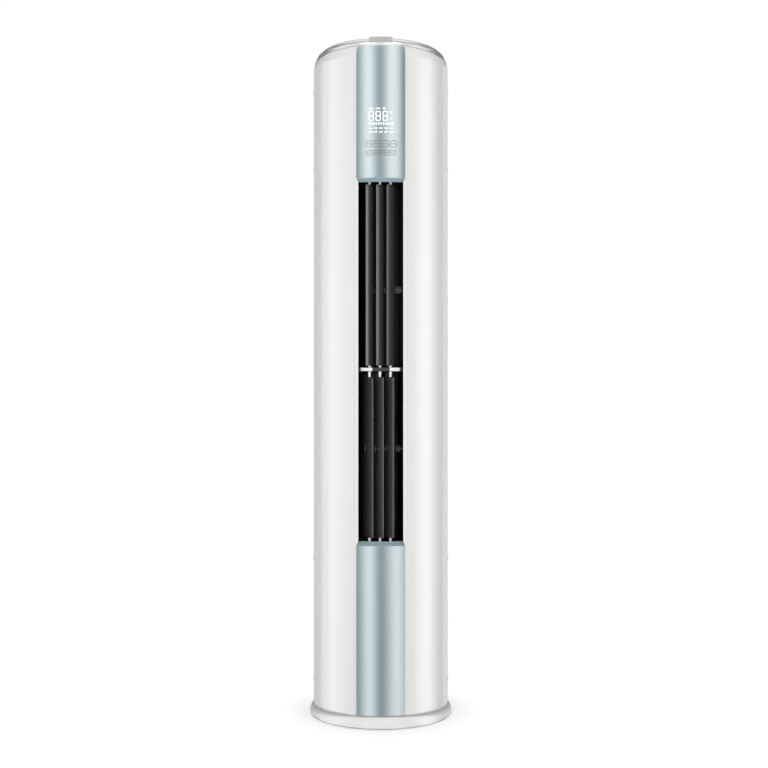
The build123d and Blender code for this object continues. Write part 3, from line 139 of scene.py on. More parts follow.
class Finish(Nodes):
    """A procedural finish: one Principled shader and the nodes behind it."""

    def __init__(self, name, colour, roughness, metallic=0.0, **constants):
        self.name = name
        self.material = bpy.data.materials.new(name)
        self.material.use_nodes = True
        super().__init__(self.material.node_tree)
        self.shader = self.tree.nodes["Principled BSDF"]
        self.set("Base Color", (*colour, 1.0))
        self.set("Roughness", roughness)
        self.set("Metallic", metallic)
        for key, value in constants.items():
            self.set(key.replace("_", " "), value)

    def set(self, socket, value):
        """Sets or links a socket of the Principled shader."""
        self.connect(self.shader.inputs[socket], value)

    def show(self, look):
        """Shows another shader in place of the Principled one."""
        self.connect(self.tree.nodes["Material Output"].inputs["Surface"], look)

    def place(self, stretch=None):
        """Place on the object in metres, or that place stretched along its axes."""
        where = self.node("ShaderNodeTexCoord", {}, {}, "Object")
        if stretch is None:
            return where
        return self.node("ShaderNodeMapping", {}, {"Vector": where, "Scale": stretch}, "Vector")

    def along(self, axis):
        """One coordinate of the place: X to the right, Y to the back or Z up."""
        return self.node("ShaderNodeSeparateXYZ", {}, {"Vector": self.place()}, axis)

    def noise(self, scale, detail, stretch=None):
        """Soft noise between 0 and 1."""
        inputs = {"Vector": self.place(stretch), "Scale": scale, "Detail": detail}
        return self.node("ShaderNodeTexNoise", {}, inputs)

    def cells(self, settings, scale, output):
        """A pattern of cells: their colours, or distances in them."""
        inputs = {"Vector": self.place(), "Scale": scale}
        return self.node("ShaderNodeTexVoronoi", settings, inputs, output)

    def mix(self, mask, first, second):
        """The first colour where the mask is 0, and the second where it is 1."""
        first, second = (look if isinstance(look, Value) else (*look, 1.0) for look in (first, second))
        sockets = {0: mask, 6: first, 7: second}       # 6, 7 and output 2 are the node's colour sockets
        return self.node("ShaderNodeMix", {"data_type": "RGBA"}, sockets, 2)

    def tint(self, mask, first, second):
        """Makes the base colour from two colours and a mask."""
        self.set("Base Color", self.mix(mask, first, second))

    def relief(self, height, depth):
        """Bumps the surface by a height from 0 to 1 times a depth in metres."""
        inputs = {"Height": height, "Distance": depth, "Strength": 1.0}
        self.set("Normal", self.node("ShaderNodeBump", {}, inputs, "Normal"))


# ---- Finishes ---------------------------------------------------------------------------------------

CLEAR_COAT = {"Coat_Weight": 0.6, "Coat_Roughness": 0.04}
BLADE_HIGHLIGHT_START = 0.152                               # from the axis, where the painted highlight on a blade's outer edge starts
BLADE_HIGHLIGHT_RUN = 0.014
RIM_PAINTED_SHADE = 0.48                                       # painted shade on the foot's lower rim, as a share of the foot's own colour
FIN_PITCH = 1.8 * MM
FIN_SHARE = 0.55                                       # of the pitch, and the rest is gap
# painted shade in the gaps between the fins
FIN_GAP_PAINTED_SHADE = (0.02, 0.022, 0.024)
NET_PITCH = 1.6 * MM
NET_HOLE = 0.6                                         # share of the pitch, and the rest is thread
TRACK_WIDTH = 0.06                                     # on a board, both as shares of a cell
PAD_RADIUS = 0.12


def shade(colour, factor):
    """The colour made darker or lighter."""
    return tuple(min(1.0, part * factor) for part in colour)


def powder_coat(name, colour, roughness):
    """Painted sheet: fine orange peel under a clear gloss."""
    finish = Finish(name, colour, roughness, **CLEAR_COAT)
    peel = finish.noise(scale=420.0, detail=2.0)
    cloud = finish.noise(scale=3.0, detail=3.0)
    finish.tint(cloud, shade(colour, 0.985), shade(colour, 1.01))
    finish.set("Roughness", cloud * 0.06 + (roughness - 0.03))
    finish.relief(peel, 0.006 * MM)
    return finish


def moulding(name, colour, roughness, grain=900.0, depth=0.03 * MM, sheen=0.5):
    """Injection moulding with a fine sparked grain."""
    finish = Finish(name, colour, roughness, Specular_IOR_Level=sheen)
    sparked = finish.noise(scale=grain, detail=3.0)
    cloud = finish.noise(scale=5.0, detail=2.0)
    finish.tint(cloud, shade(colour, 0.96), shade(colour, 1.03))
    finish.set("Roughness", sparked * 0.10 + (roughness - 0.05))
    finish.relief(sparked, depth)
    return finish


def blade_moulding(name, colour, highlight_colour, roughness):
    """Dark satin moulding of a louvre blade, with a painted highlight towards the thin edge that faces out
    at rest.
    """
    finish = Finish(name, colour, roughness, Specular_IOR_Level=1.0)
    sparked = finish.noise(scale=1100.0, detail=3.0)
    outwards = ((finish.along("Y") * -1.0 - BLADE_HIGHLIGHT_START) * (1 / BLADE_HIGHLIGHT_RUN)).limited()
    # painted highlight: the base colour grows paler towards the blade's outer edge
    finish.tint(outwards * outwards, colour, highlight_colour)
    finish.set("Roughness", sparked * 0.10 + (roughness - 0.05))
    finish.relief(sparked, 0.01 * MM)
    return finish


def gloss_moulding(name, colour, roughness):
    """Polished moulding with the slight waviness of a long piece, and painted shade on the foot's lower rim
    where it meets the floor.
    """
    finish = Finish(name, colour, roughness, **CLEAR_COAT)
    wave = finish.noise(scale=14.0, detail=1.0)
    fine = finish.noise(scale=700.0, detail=2.0)
    painted_rim_shade = finish.along("Z") < PAINTED_RIM_SHADE_TOP
    waved = finish.mix(wave, shade(colour, 0.985), shade(colour, 1.01))
    # painted shade: the base colour is darker below the rim height, where the foot meets the floor
    finish.tint(painted_rim_shade, waved, shade(colour, RIM_PAINTED_SHADE))
    finish.set("Roughness", fine * 0.05 + (roughness - 0.02))
    finish.relief(wave, 0.03 * MM)
    return finish


def lacquered_panel(name, colour, lip_colour):
    """Pale blue panel with fine upright brushing under thick clear lacquer. Its lips are plain moulding,
    and the upper lip is painted lighter than the lower one as painted light.
    """
    finish = Finish(name, colour, 0.35, Coat_IOR=3.0, Coat_Roughness=0.11)
    hairline = finish.noise(scale=2600.0, detail=2.0, stretch=(1.0, 1.0, 0.006))
    streak = finish.noise(scale=700.0, detail=2.0, stretch=(1.0, 1.0, 0.004))
    height = finish.along("Z")
    lip = (height > LOWER_LIP) * (height < UPPER_LIP)
    brushed = finish.mix(streak, shade(colour, 0.97), shade(colour, 1.03))
    # painted light: the upper lip is a lighter copy of the lower lip's colour
    lip_painted_light = finish.mix(height > BETWEEN_LIPS, lip_colour, shade(lip_colour, 1.3))
    finish.tint(lip, brushed, lip_painted_light)
    finish.set("Coat Weight", 1.0 - lip)
    finish.set("Roughness", hairline * 0.1 + 0.30)
    return finish


def bright_plate(name, colour, roughness):
    """Bright plating with a trace of polish marks."""
    finish = Finish(name, colour, roughness, metallic=1.0)
    polish = finish.noise(scale=260.0, detail=2.0, stretch=(1.0, 1.0, 6.0))
    finish.tint(polish, shade(colour, 0.97), shade(colour, 1.02))
    finish.set("Roughness", polish * 0.06 + roughness)
    return finish


def zinc_sheet(name, colour):
    """Galvanised sheet with its spangle."""
    finish = Finish(name, colour, 0.4, metallic=0.85)
    spangle = finish.cells({}, scale=110.0, output="Color")
    grade = finish.node("ShaderNodeSeparateColor", {}, {"Color": spangle}, "Red")
    finish.tint(grade, shade(colour, 0.82), shade(colour, 1.12))
    finish.set("Roughness", grade * 0.22 + 0.30)
    return finish


def drawn_metal(name, colour, roughness, stretch=None):
    """Drawn or turned metal, with fine lines along the work."""
    finish = Finish(name, colour, roughness, metallic=1.0)
    lines = finish.noise(scale=900.0, detail=2.0, stretch=stretch)
    stain = finish.noise(scale=30.0, detail=3.0)
    finish.tint(stain, shade(colour, 0.86), shade(colour, 1.05))
    finish.set("Roughness", lines * 0.16 + (roughness - 0.06))
    finish.relief(lines, 0.01 * MM)
    return finish


def rubber(name, colour):
    """Matt rubber with a faint bloom."""
    finish = Finish(name, colour, 0.75)
    bloom = finish.noise(scale=60.0, detail=4.0)
    finish.tint(bloom, shade(colour, 0.8), shade(colour, 1.5))
    finish.set("Roughness", bloom * 0.2 + 0.62)
    finish.relief(finish.noise(scale=1200.0, detail=2.0), 0.04 * MM)
    return finish


def fin_pack(name, colour):
    """Edges of thin fins stacked along the tubes, with painted shade in the gaps between them."""
    finish = Finish(name, colour, 0.35, metallic=0.75)
    # painted shade: the gaps between the fins are drawn dark
    painted_gap_shade = finish.along("Z").wrapped(FIN_PITCH) > FIN_SHARE
    dust = finish.noise(scale=40.0, detail=3.0)
    edge = finish.mix(dust, shade(colour, 0.85), shade(colour, 1.05))
    finish.tint(painted_gap_shade, edge, FIN_GAP_PAINTED_SHADE)
    finish.set("Roughness", painted_gap_shade * 0.4 + 0.32)
    return finish


def filter_net(name, colour):
    """Woven net in its frame: fine threads across and up, with painted shade in the holes between them."""
    finish = Finish(name, colour, 0.6)
    across = (finish.along("X") + finish.along("Y")).wrapped(NET_PITCH) > NET_HOLE
    up = finish.along("Z").wrapped(NET_PITCH) > NET_HOLE
    thread = across.larger(up)
    # painted shade: the holes between the threads are drawn darker than the threads
    finish.tint(thread, shade(colour, 0.45), shade(colour, 1.25))
    finish.set("Roughness", thread * 0.1 + 0.55)
    finish.relief(thread, 0.1 * MM)
    return finish


def circuit_board(name, colour, solder):
    """Green board with paler tracks and solder pads."""
    finish = Finish(name, colour, 0.35, Coat_Weight=0.3, Coat_Roughness=0.15)
    track = finish.cells({"feature": "DISTANCE_TO_EDGE"}, scale=90.0, output="Distance") < TRACK_WIDTH
    pad = finish.cells({}, scale=160.0, output="Distance") < PAD_RADIUS
    finish.tint(pad, finish.mix(track, colour, shade(colour, 1.9)), solder)
    finish.set("Roughness", pad * 0.15 + 0.3)
    finish.relief(track, 0.05 * MM)
    return finish


def printed(name, colour, glow=0.0):
    """Ink printed on the panel, a little uneven. Lit marks glow."""
    finish = Finish(name, colour, 0.5)
    finish.tint(finish.noise(scale=2500.0, detail=2.0), shade(colour, 0.94), shade(colour, 1.03))
    if glow:
        finish.set("Emission Color", (*colour, 1.0))
        finish.set("Emission Strength", glow)
    return finish


FINISHES = {finish.name: finish for finish in (
    powder_coat("side_white", (0.80, 0.80, 0.79), 0.30),
    # moulded_white, lid_white and receiver_grey carry the painted rim shade, which only shows on the foot
    gloss_moulding("moulded_white", (0.80, 0.80, 0.79), 0.30),
    moulding("grille_white", (0.76, 0.76, 0.75), 0.42, grain=700.0, depth=0.04 * MM),
    lacquered_panel("panel_blue", (0.23, 0.325, 0.355), (0.24, 0.34, 0.36)),
    bright_plate("ring_bright", (0.84, 0.845, 0.85), 0.30),
    gloss_moulding("lid_white", (0.82, 0.82, 0.81), 0.20),
    gloss_moulding("receiver_grey", (0.42, 0.43, 0.43), 0.28),
    moulding("duct_black", (0.004, 0.004, 0.004), 0.85, sheen=0.05),
    # blade_dark has a painted highlight along each blade's outer edge
    blade_moulding("blade_dark", (0.050, 0.047, 0.048), (0.30, 0.29, 0.29), 0.32),
    moulding("drive_dark", (0.055, 0.050, 0.045), 0.45),
    moulding("bar_dark", (0.045, 0.032, 0.028), 0.35),
    moulding("bush_white", (0.90, 0.90, 0.88), 0.35),
    zinc_sheet("galvanised", (0.48, 0.50, 0.51)),
    moulding("fan_grey", (0.045, 0.046, 0.05), 0.5),
    moulding("foam_black", (0.008, 0.008, 0.008), 0.9, grain=500.0, depth=0.2 * MM, sheen=0.05),
    fin_pack("fin_aluminium", (0.62, 0.67, 0.70)),
    drawn_metal("copper_tube", (0.72, 0.36, 0.21), 0.30, stretch=(1.0, 1.0, 0.05)),
    drawn_metal("union_brass", (0.70, 0.52, 0.22), 0.28, stretch=(1.0, 1.0, 8.0)),
    moulding("tray_white", (0.70, 0.70, 0.69), 0.45),
    rubber("rubber_black", (0.022, 0.022, 0.022)),
    powder_coat("motor_grey", (0.12, 0.125, 0.13), 0.45),
    circuit_board("board_green", (0.02, 0.11, 0.05), (0.62, 0.62, 0.60)),
    drawn_metal("capacitor_silver", (0.70, 0.70, 0.70), 0.30, stretch=(1.0, 1.0, 5.0)),
    moulding("terminal_cream", (0.62, 0.58, 0.46), 0.45),
    moulding("display_black", (0.02, 0.02, 0.02), 0.5),
    filter_net("filter_grey", (0.16, 0.18, 0.20)),
)}

for part in frame["record"]["subparts"]:
    for holder in frame["nodes"][part["node"]].material_slots:
        holder.material = FINISHES[part["material_slot"]].material

INK_WHITE = printed("ink_white", (0.90, 0.92, 0.92), glow=0.25)
INK_GREY = printed("ink_grey", (0.16, 0.15, 0.14))
# painted shade: grey lines for the seam's shadow under the trim and the shade in the groove over it
PAINTED_SHADE_GREY = moulding("painted_shade_grey", (0.36, 0.36, 0.36), 0.5)
# painted shade: dark, soft and faint greys for the shade where the skirt runs in under the casing
PAINTED_SHADE_DARK = moulding("painted_shade_dark", (0.10, 0.10, 0.10), 0.6)
PAINTED_SHADE_SOFT = moulding("painted_shade_soft", (0.42, 0.42, 0.42), 0.6)
PAINTED_SHADE_FAINT = moulding("painted_shade_faint", (0.60, 0.60, 0.60), 0.6)
SCREW_ZINC = drawn_metal("screw_zinc", (0.66, 0.67, 0.68), 0.30)

# ---- Pieces and points ------------------------------------------------------------------------------


def put(name, data):
    """Puts a mesh, a lamp or a camera into the scene as an object."""
    thing = bpy.data.objects.new(name, data)
    bpy.context.scene.collection.objects.link(thing)
    return thing


def finished_mesh(name, mesh_data, finish):
    """Turns a bmesh into a mesh with its finish."""
    mesh = bpy.data.meshes.new(name)
    mesh_data.normal_update()
    mesh_data.to_mesh(mesh)
    mesh_data.free()
    mesh.materials.append(finish.material)
    return mesh


def add_piece(name, mesh_data, finish):
    """Adds a piece that sits on the cabinet."""
    piece = put(name, finished_mesh(name, mesh_data, finish))
    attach(piece, "cabinet")


def round_point(azimuth, radius, z):
    """A point round the axis. Its azimuth is in degrees, 0 in front and 90 at the right."""
    angle = math.radians(azimuth)
    return Vector((radius * math.sin(angle), -radius * math.cos(angle), z))


# ---- Print on the upper panel -----------------------------------------------------------------------
# Half sizes are half the width and half the height.

INK_LIFT = 0.5 * MM                                    # over the panel
BAR_CORNER = 0.9                                       # share of a bar's lesser half size
RING_FLAT = 0.1 * MM                                   # what a small ring's corner lacks of its radius

DIGIT_X = (-24.9 * MM, -6.8 * MM, 11.7 * MM)
DIGIT_Z = 1603.2 * MM
DIGIT_HALF = (7.0 * MM, 13.2 * MM)
DIGIT_CORNER = 3.6 * MM
DIGIT_LINE = 2.9 * MM

SIGN_X = (-25.0 * MM, -7.5 * MM)                       # signs of three bars over the digits
SIGN_Z = 1623.0 * MM
SIGN_PITCH = 4.4 * MM
SIGN_HALF = (1.6 * MM, 2.6 * MM)
SIGN_STEP = 0.6 * MM                                   # the outer bars' half height is less by this
DOT_X = 8.3 * MM                                       # dot beside the signs
DOT_HALF = (3.0 * MM, 3.0 * MM)

DEGREE_PLACE = (22.6 * MM, 1613.5 * MM)                # degree sign, and a letter C of bars beside it
DEGREE_RADIUS = 1.6 * MM
DEGREE_LINE = 0.7 * MM
LETTER_Z = 1611.6 * MM
STEM_X = 27.2 * MM
STEM_HALF = (0.9 * MM, 4.6 * MM)
ARM_X = 29.6 * MM
ARM_RISE = 4.0 * MM
ARM_HALF = (2.2 * MM, 0.8 * MM)
CROSS_PLACE = (27.8 * MM, 1595.4 * MM)                 # small cross under the letter
CROSS_HALF = 3.6 * MM
CROSS_WIDTH = 0.35                                     # width of a stroke as a share of its length

TICK_COUNT = 11                                        # row of ticks under the digits
TICK_X = -29.5 * MM
TICK_Z = 1583.4 * MM
TICK_PITCH = 6.1 * MM
TICK_HALF_WIDTHS = (2.6 * MM, 2.1 * MM)                # of the first tick and of all others
TICK_HALF_HEIGHTS = (3.7 * MM, 3.1 * MM)               # they take turns

WORD_COUNT = 5                                         # rows of short words under the ticks, two bars each
WORD_X = -27.6 * MM
WORD_Z = (1571.6 * MM, 1561.3 * MM)
WORD_PITCH = 13.7 * MM
WORD_BARS_X = (-2.3 * MM, 2.5 * MM)
WORD_LEFT_HALF = (2.1 * MM, 2.0 * MM)
WORD_RIGHT_HALF = (1.9 * MM, 2.5 * MM)
WORD_RISES = (-0.45 * MM, 0.45 * MM)                   # of the right bar, by row

KEY_X = (-30.9 * MM, -10.0 * MM, 11.6 * MM, 33.3 * MM)
KEY_Z = 1530.5 * MM
KEY_HALF = (8.4 * MM, 9.0 * MM)
KEY_CORNER = 4.6 * MM
KEY_LINE = 1.1 * MM
KEY_MARK_PITCH = 3.2 * MM                              # three marks in a row on each key
KEY_MARK_Z = KEY_Z + 0.4 * MM
KEY_MARK_HALF = (1.0 * MM, 1.1 * MM)
KEY_DOT_PLACE = (22.2 * MM, KEY_Z - 3.1 * MM)          # dot between the last two keys
KEY_DOT_HALF = (1.2 * MM, 1.4 * MM)

SLIDER_X = 1.2 * MM
SLIDER_Z = 1507.3 * MM
SLIDER_HALF = (39.8 * MM, 6.2 * MM)
SLIDER_CORNER = 5.0 * MM
SLIDER_BAR_HALF = (26.5 * MM, 0.7 * MM)
SLIDER_RING_X = 32.3 * MM                              # from the slider's middle to its rings
SLIDER_RING_RADIUS = 1.7 * MM
SLIDER_RING_LINE = 0.6 * MM


def on_panel(x, z):
    """The point of the print at a distance to the right round the panel and at a height."""
    return round_point(math.degrees(x / SKIN), SKIN + INK_LIFT, z)


def add_patch(mesh_data, outline):
    """A small patch of ink, from its outline in (x, z)."""
    mesh_data.faces.new([mesh_data.verts.new(on_panel(x, z)) for x, z in outline])


def add_band(mesh_data, outline, hole):
    """A band of ink between an outline in (x, z) and a hole of as many points."""
    outer = [mesh_data.verts.new(on_panel(x, z)) for x, z in outline]
    inner = [mesh_data.verts.new(on_panel(x, z)) for x, z in hole]
    for step in range(len(outer)):
        after = (step + 1) % len(outer)
        mesh_data.faces.new((outer[step], outer[after], inner[after], inner[step]))


def rounded(x, z, half_width, half_height, corner, steps=4, runs=12):
    """Outline of a rounded rectangle, counter-clockwise, with its top and bottom edges divided."""
    points = []
    for quarter, (side, rise) in enumerate(((1, -1), (1, 1), (-1, 1), (-1, -1))):
        for step in range(steps + 1):
            angle = math.radians(-90 + 90 * quarter + 90 * step / steps)
            points.append((x + side * (half_width - corner) + corner * math.cos(angle),
                           z + rise * (half_height - corner) + corner * math.sin(angle)))
        if rise == side:                               # the top or the bottom edge follows this corner
            reach = half_width - corner
            level = points[-1][1]
            points += [(x + side * reach * (1 - 2 * step / runs), level) for step in range(1, runs)]
    return points


def add_outline(mesh_data, x, z, half, corner, line):
    """A thin rounded frame."""
    half_width, half_height = half
    add_band(mesh_data, rounded(x, z, half_width, half_height, corner),
             rounded(x, z, half_width - line, half_height - line, max(corner - line, line / 4)))


def add_ring(mesh_data, x, z, radius, line):
    """A small round ring."""
    add_outline(mesh_data, x, z, (radius, radius), radius - RING_FLAT, line)


def add_bar(mesh_data, x, z, half, steps=12):
    """A bar with rounded corners, in upright strips that follow the curved panel."""
    half_width, half_height = half
    corner = min(half) * BAR_CORNER
    last = None
    for step in range(steps + 1):
        aside = half_width * math.sin(math.radians(180 * step / steps - 90))
        reach = max(0.0, abs(aside) - half_width + corner)
        rise = half_height - corner + math.sqrt(max(0.0, corner ** 2 - reach ** 2))
        pair = [mesh_data.verts.new(on_panel(x + aside, z + side * rise)) for side in (-1, 1)]
        if last:
            mesh_data.faces.new((last[0], pair[0], pair[1], last[1]))
        last = pair


def add_digit(mesh_data, x, z):
    """A figure eight of two rounded loops."""
    half_width, half_height = DIGIT_HALF
    loop = (half_height + DIGIT_LINE / 2) / 2
    for side in (-1, 1):
        middle = z + side * (half_height - loop)
        add_outline(mesh_data, x, middle, (half_width, loop), DIGIT_CORNER, DIGIT_LINE)


def add_signs(mesh_data):
    """The signs and the dot over the digits."""
    add_bar(mesh_data, DOT_X, SIGN_Z, DOT_HALF)
    half_width, half_height = SIGN_HALF
    for x in SIGN_X:
        for step in (-1, 0, 1):
            half = (half_width, half_height - abs(step) * SIGN_STEP)
            add_bar(mesh_data, x + step * SIGN_PITCH, SIGN_Z, half)


def add_degree(mesh_data):
    """The degree sign with its letter."""
    add_ring(mesh_data, *DEGREE_PLACE, DEGREE_RADIUS, DEGREE_LINE)
    add_bar(mesh_data, STEM_X, LETTER_Z, STEM_HALF)
    for side in (1, -1):
        add_bar(mesh_data, ARM_X, LETTER_Z + side * ARM_RISE, ARM_HALF)


def add_cross(mesh_data, x, z):
    """Two crossed strokes."""
    for turn in (45, 135):
        angle = math.radians(turn)
        along = (CROSS_HALF * math.cos(angle), CROSS_HALF * math.sin(angle))
        aside = (-along[1] * CROSS_WIDTH, along[0] * CROSS_WIDTH)
        add_patch(mesh_data, [(x + a * along[0] + b * aside[0], z + a * along[1] + b * aside[1])
                              for a, b in ((-1, -1), (1, -1), (1, 1), (-1, 1))])


def add_ticks(mesh_data):
    """The row of ticks, the first one wider."""
    for step in range(TICK_COUNT):
        half = (TICK_HALF_WIDTHS[min(step, 1)], TICK_HALF_HEIGHTS[step % 2])
        add_bar(mesh_data, TICK_X + step * TICK_PITCH, TICK_Z, half)


def add_words(mesh_data):
    """The rows of short words, as plain bars."""
    left, right = WORD_BARS_X
    for z, rise in zip(WORD_Z, WORD_RISES):
        for column in range(WORD_COUNT):
            x = WORD_X + column * WORD_PITCH
            add_bar(mesh_data, x + left, z, WORD_LEFT_HALF)
            add_bar(mesh_data, x + right, z + rise, WORD_RIGHT_HALF)


def display_print():
    """Lit marks of the display behind the panel."""
    marks = bmesh.new()
    for x in DIGIT_X:
        add_digit(marks, x, DIGIT_Z)
    add_signs(marks)
    add_degree(marks)
    add_cross(marks, *CROSS_PLACE)
    add_ticks(marks)
    add_words(marks)
    add_piece("display_print", marks, INK_WHITE)


def key_print():
    """Rounded outlines of the four touch keys and the slider, with small plain marks."""
    marks = bmesh.new()
    for x in KEY_X:
        add_outline(marks, x, KEY_Z, KEY_HALF, KEY_CORNER, KEY_LINE)
        for step in (-1, 0, 1):
            add_bar(marks, x + step * KEY_MARK_PITCH, KEY_MARK_Z, KEY_MARK_HALF)
    add_bar(marks, *KEY_DOT_PLACE, KEY_DOT_HALF)
    add_outline(marks, SLIDER_X, SLIDER_Z, SLIDER_HALF, SLIDER_CORNER, KEY_LINE)
    add_bar(marks, SLIDER_X, SLIDER_Z, SLIDER_BAR_HALF)
    for side in (-1, 1):
        add_ring(marks, SLIDER_X + side * SLIDER_RING_X, SLIDER_Z, SLIDER_RING_RADIUS, SLIDER_RING_LINE)
    add_piece("key_print", marks, INK_GREY)


display_print()
key_print()

# ---- Trim under the lid with painted shade lines, and painted shade on the foot ---------------------

SHOULDER_RADIUS = 53.7 * MM                            # rounding of the casing's top edge
SHOULDER_HEIGHT = 29.0 * MM
STRIP_LIFT = 0.35 * MM                                 # strips over the surface under them
LINE_LIFT = STRIP_LIFT * 1.4                           # painted shade lines that lie on the trim or beside it
HOOP_STEP = 3                                          # degrees
RAY_START = 0.5                                        # outside the object, from the axis
TRIM_STEPS = 6
TRIM_FRONT_DROP = 0.5 * MM                             # trim's lower edge under the casing's top edge
TRIM_SIDE_DROP = 15.0 * MM
TRIM_SHADE_LINE = 1.8 * MM                                   # painted shade line along its lower edge, for the seam's shadow
GROOVE_FRONT_RISE = 11.0 * MM                          # painted shade of the groove between trim and lid, over the casing's edge
GROOVE_SIDE_RISE = -3.0 * MM
GROOVE_SHADE_LINE = 1.8 * MM
SKIRT_GAP = 0.6 * MM                                   # from the casing's foot to the painted shade line
SKIRT_FRONT_LINE = 2.0 * MM                            # width of the painted dark shade line
SKIRT_SIDE_LINE = 5.0 * MM
SKIRT_FRONT_BAND = 0.4 * MM                            # width of the painted soft shade band under it
SKIRT_SIDE_BAND = 8.0 * MM
SOFT_ROWS = (1.0, 0.5, 0.0)                            # shares of the painted soft shade band's width, bottom row first
FAINT_ROWS = (2.9 / 3, 2 / 3, 1 / 3, 0.0)              # the same for the painted faint shade band below it


def shoulder_radius(z):
    """Outer radius of the casing on its rounded top edge."""
    rise = math.sqrt(SHOULDER_RADIUS ** 2 - (z - CASING_TOP + SHOULDER_HEIGHT) ** 2)
    return SKIN - SHOULDER_RADIUS + rise


def node_radius(node, azimuth, z):
    """Outer radius of a frame node at an azimuth and a height."""
    outwards = round_point(azimuth, 1.0, 0.0)
    start = outwards * RAY_START + Vector((0, 0, z))
    place = frame["nodes"][node].ray_cast(start, -outwards)[1]
    return math.hypot(place.x, place.y)


def eased(azimuth, front, side):
    """A size that changes from the front towards the sides, and stays the same behind them."""
    return front + (side - front) * math.sin(math.radians(min(abs(azimuth), 90))) ** 2


def trim_edge(azimuth):
    """Height of the trim's lower edge."""
    return CASING_TOP - eased(azimuth, TRIM_FRONT_DROP, TRIM_SIDE_DROP)


def trim_row(share, lift):
    """Row of the trim at a share of the way from its lower edge to the casing's top edge."""
    def row(azimuth):
        z = trim_edge(azimuth) + share * (CASING_TOP - trim_edge(azimuth))
        return shoulder_radius(z) + lift, z
    return row


def seam_shade_row(rise):
    """Row of the painted shade line at a height over the trim's lower edge."""
    def row(azimuth):
        z = min(trim_edge(azimuth) + rise, CASING_TOP)
        return shoulder_radius(z) + LINE_LIFT, z
    return row


def groove_shade_row(rise):
    """Row of the groove's painted shade, on the ring in front and on the casing's rounded edge at the
    sides.
    """
    def row(azimuth):
        z = CASING_TOP + eased(azimuth, GROOVE_FRONT_RISE, GROOVE_SIDE_RISE) + rise
        if z <= CASING_TOP + STRIP_LIFT:
            return shoulder_radius(z) + LINE_LIFT, z
        return node_radius("top_trim_ring", azimuth, z) + STRIP_LIFT, z
    return row


def skirt_row(line, band):
    """Row on the skirt, down by a share of the painted dark shade line's width and a share of the painted
    soft shade band's.
    """
    def row(azimuth):
        line_drop = line * eased(azimuth, SKIRT_FRONT_LINE, SKIRT_SIDE_LINE)
        band_drop = band * eased(azimuth, SKIRT_FRONT_BAND, SKIRT_SIDE_BAND)
        z = CASING_FOOT - SKIRT_GAP - line_drop - band_drop
        return node_radius("base_skirt", azimuth, z) + STRIP_LIFT, z
    return row


def add_hoop(mesh_data, rows):
    """A smooth strip right round the object. Its rows give the radius and the height at an azimuth."""
    grid = [[mesh_data.verts.new(round_point(azimuth, *row(azimuth))) for row in rows]
            for azimuth in range(-180, 180, HOOP_STEP)]
    for column, near in enumerate(grid):
        far = grid[(column + 1) % len(grid)]
        for row in range(len(rows) - 1):
            face = mesh_data.faces.new((near[row], far[row], far[row + 1], near[row + 1]))
            face.smooth = True


def add_strips(name, strips, finish):
    """A piece of one or more strips round the object."""
    mesh_data = bmesh.new()
    for rows in strips:
        add_hoop(mesh_data, rows)
    add_piece(name, mesh_data, finish)


def trim_strips():
    """Bright trim over the casing's rounded top edge, with painted shade lines along it and in the groove
    over it.
    """
    lap = [trim_row(0, -STRIP_LIFT)]
    lap += [trim_row(step / TRIM_STEPS, STRIP_LIFT) for step in range(TRIM_STEPS + 1)]
    line = [seam_shade_row(0), seam_shade_row(TRIM_SHADE_LINE)]
    groove_shade = [groove_shade_row(0), groove_shade_row(GROOVE_SHADE_LINE)]
    add_strips("trim_lap", [lap], FINISHES["ring_bright"])
    # painted shade lines at the seam and in the groove
    add_strips("trim_painted_shade_lines", [line, groove_shade], PAINTED_SHADE_GREY)


def skirt_strips():
    """Painted shade on the skirt where it runs in under the casing, in a dark, a soft and a faint strip,
    wider at the sides.
    """
    line = [skirt_row(1.0, 0.0), skirt_row(0.0, 0.0)]
    soft = [skirt_row(1.0, share) for share in SOFT_ROWS]
    faint = [skirt_row(1.0, 1.0 + share) for share in FAINT_ROWS]
    add_strips("skirt_painted_shade_line", [line], PAINTED_SHADE_DARK)
    add_strips("skirt_painted_shade", [soft], PAINTED_SHADE_SOFT)
    add_strips("skirt_painted_faint_shade", [faint], PAINTED_SHADE_FAINT)


trim_strips()
skirt_strips()

# ---- Screws on the casing seams ---------------------------------------------------------------------

SEAM_TURN = 5.0                                        # degrees from the seam between side and rear
SCREW_HEIGHTS = (0.095, 0.426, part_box("rear_upper_cover")[0][2] + 0.06, 1.704)
SCREW_LIFT = 0.6 * MM
SCREW_STEPS = 24
SCREW_PROFILE = ((1.6, 0.85), (3.0, 0.6), (3.9, 0.1), (4.0, -0.2), (4.0, -0.6))    # radius, height in mm
RECESS_REACH = 2.0                                     # radius of the cross, also in mm
RECESS_DEPTH = 0.7                                     # mm
RECESS_MIDDLE = 0.1                                    # height in mm
RECESS_WIDTH = 0.30                                    # half width as a share of the radius


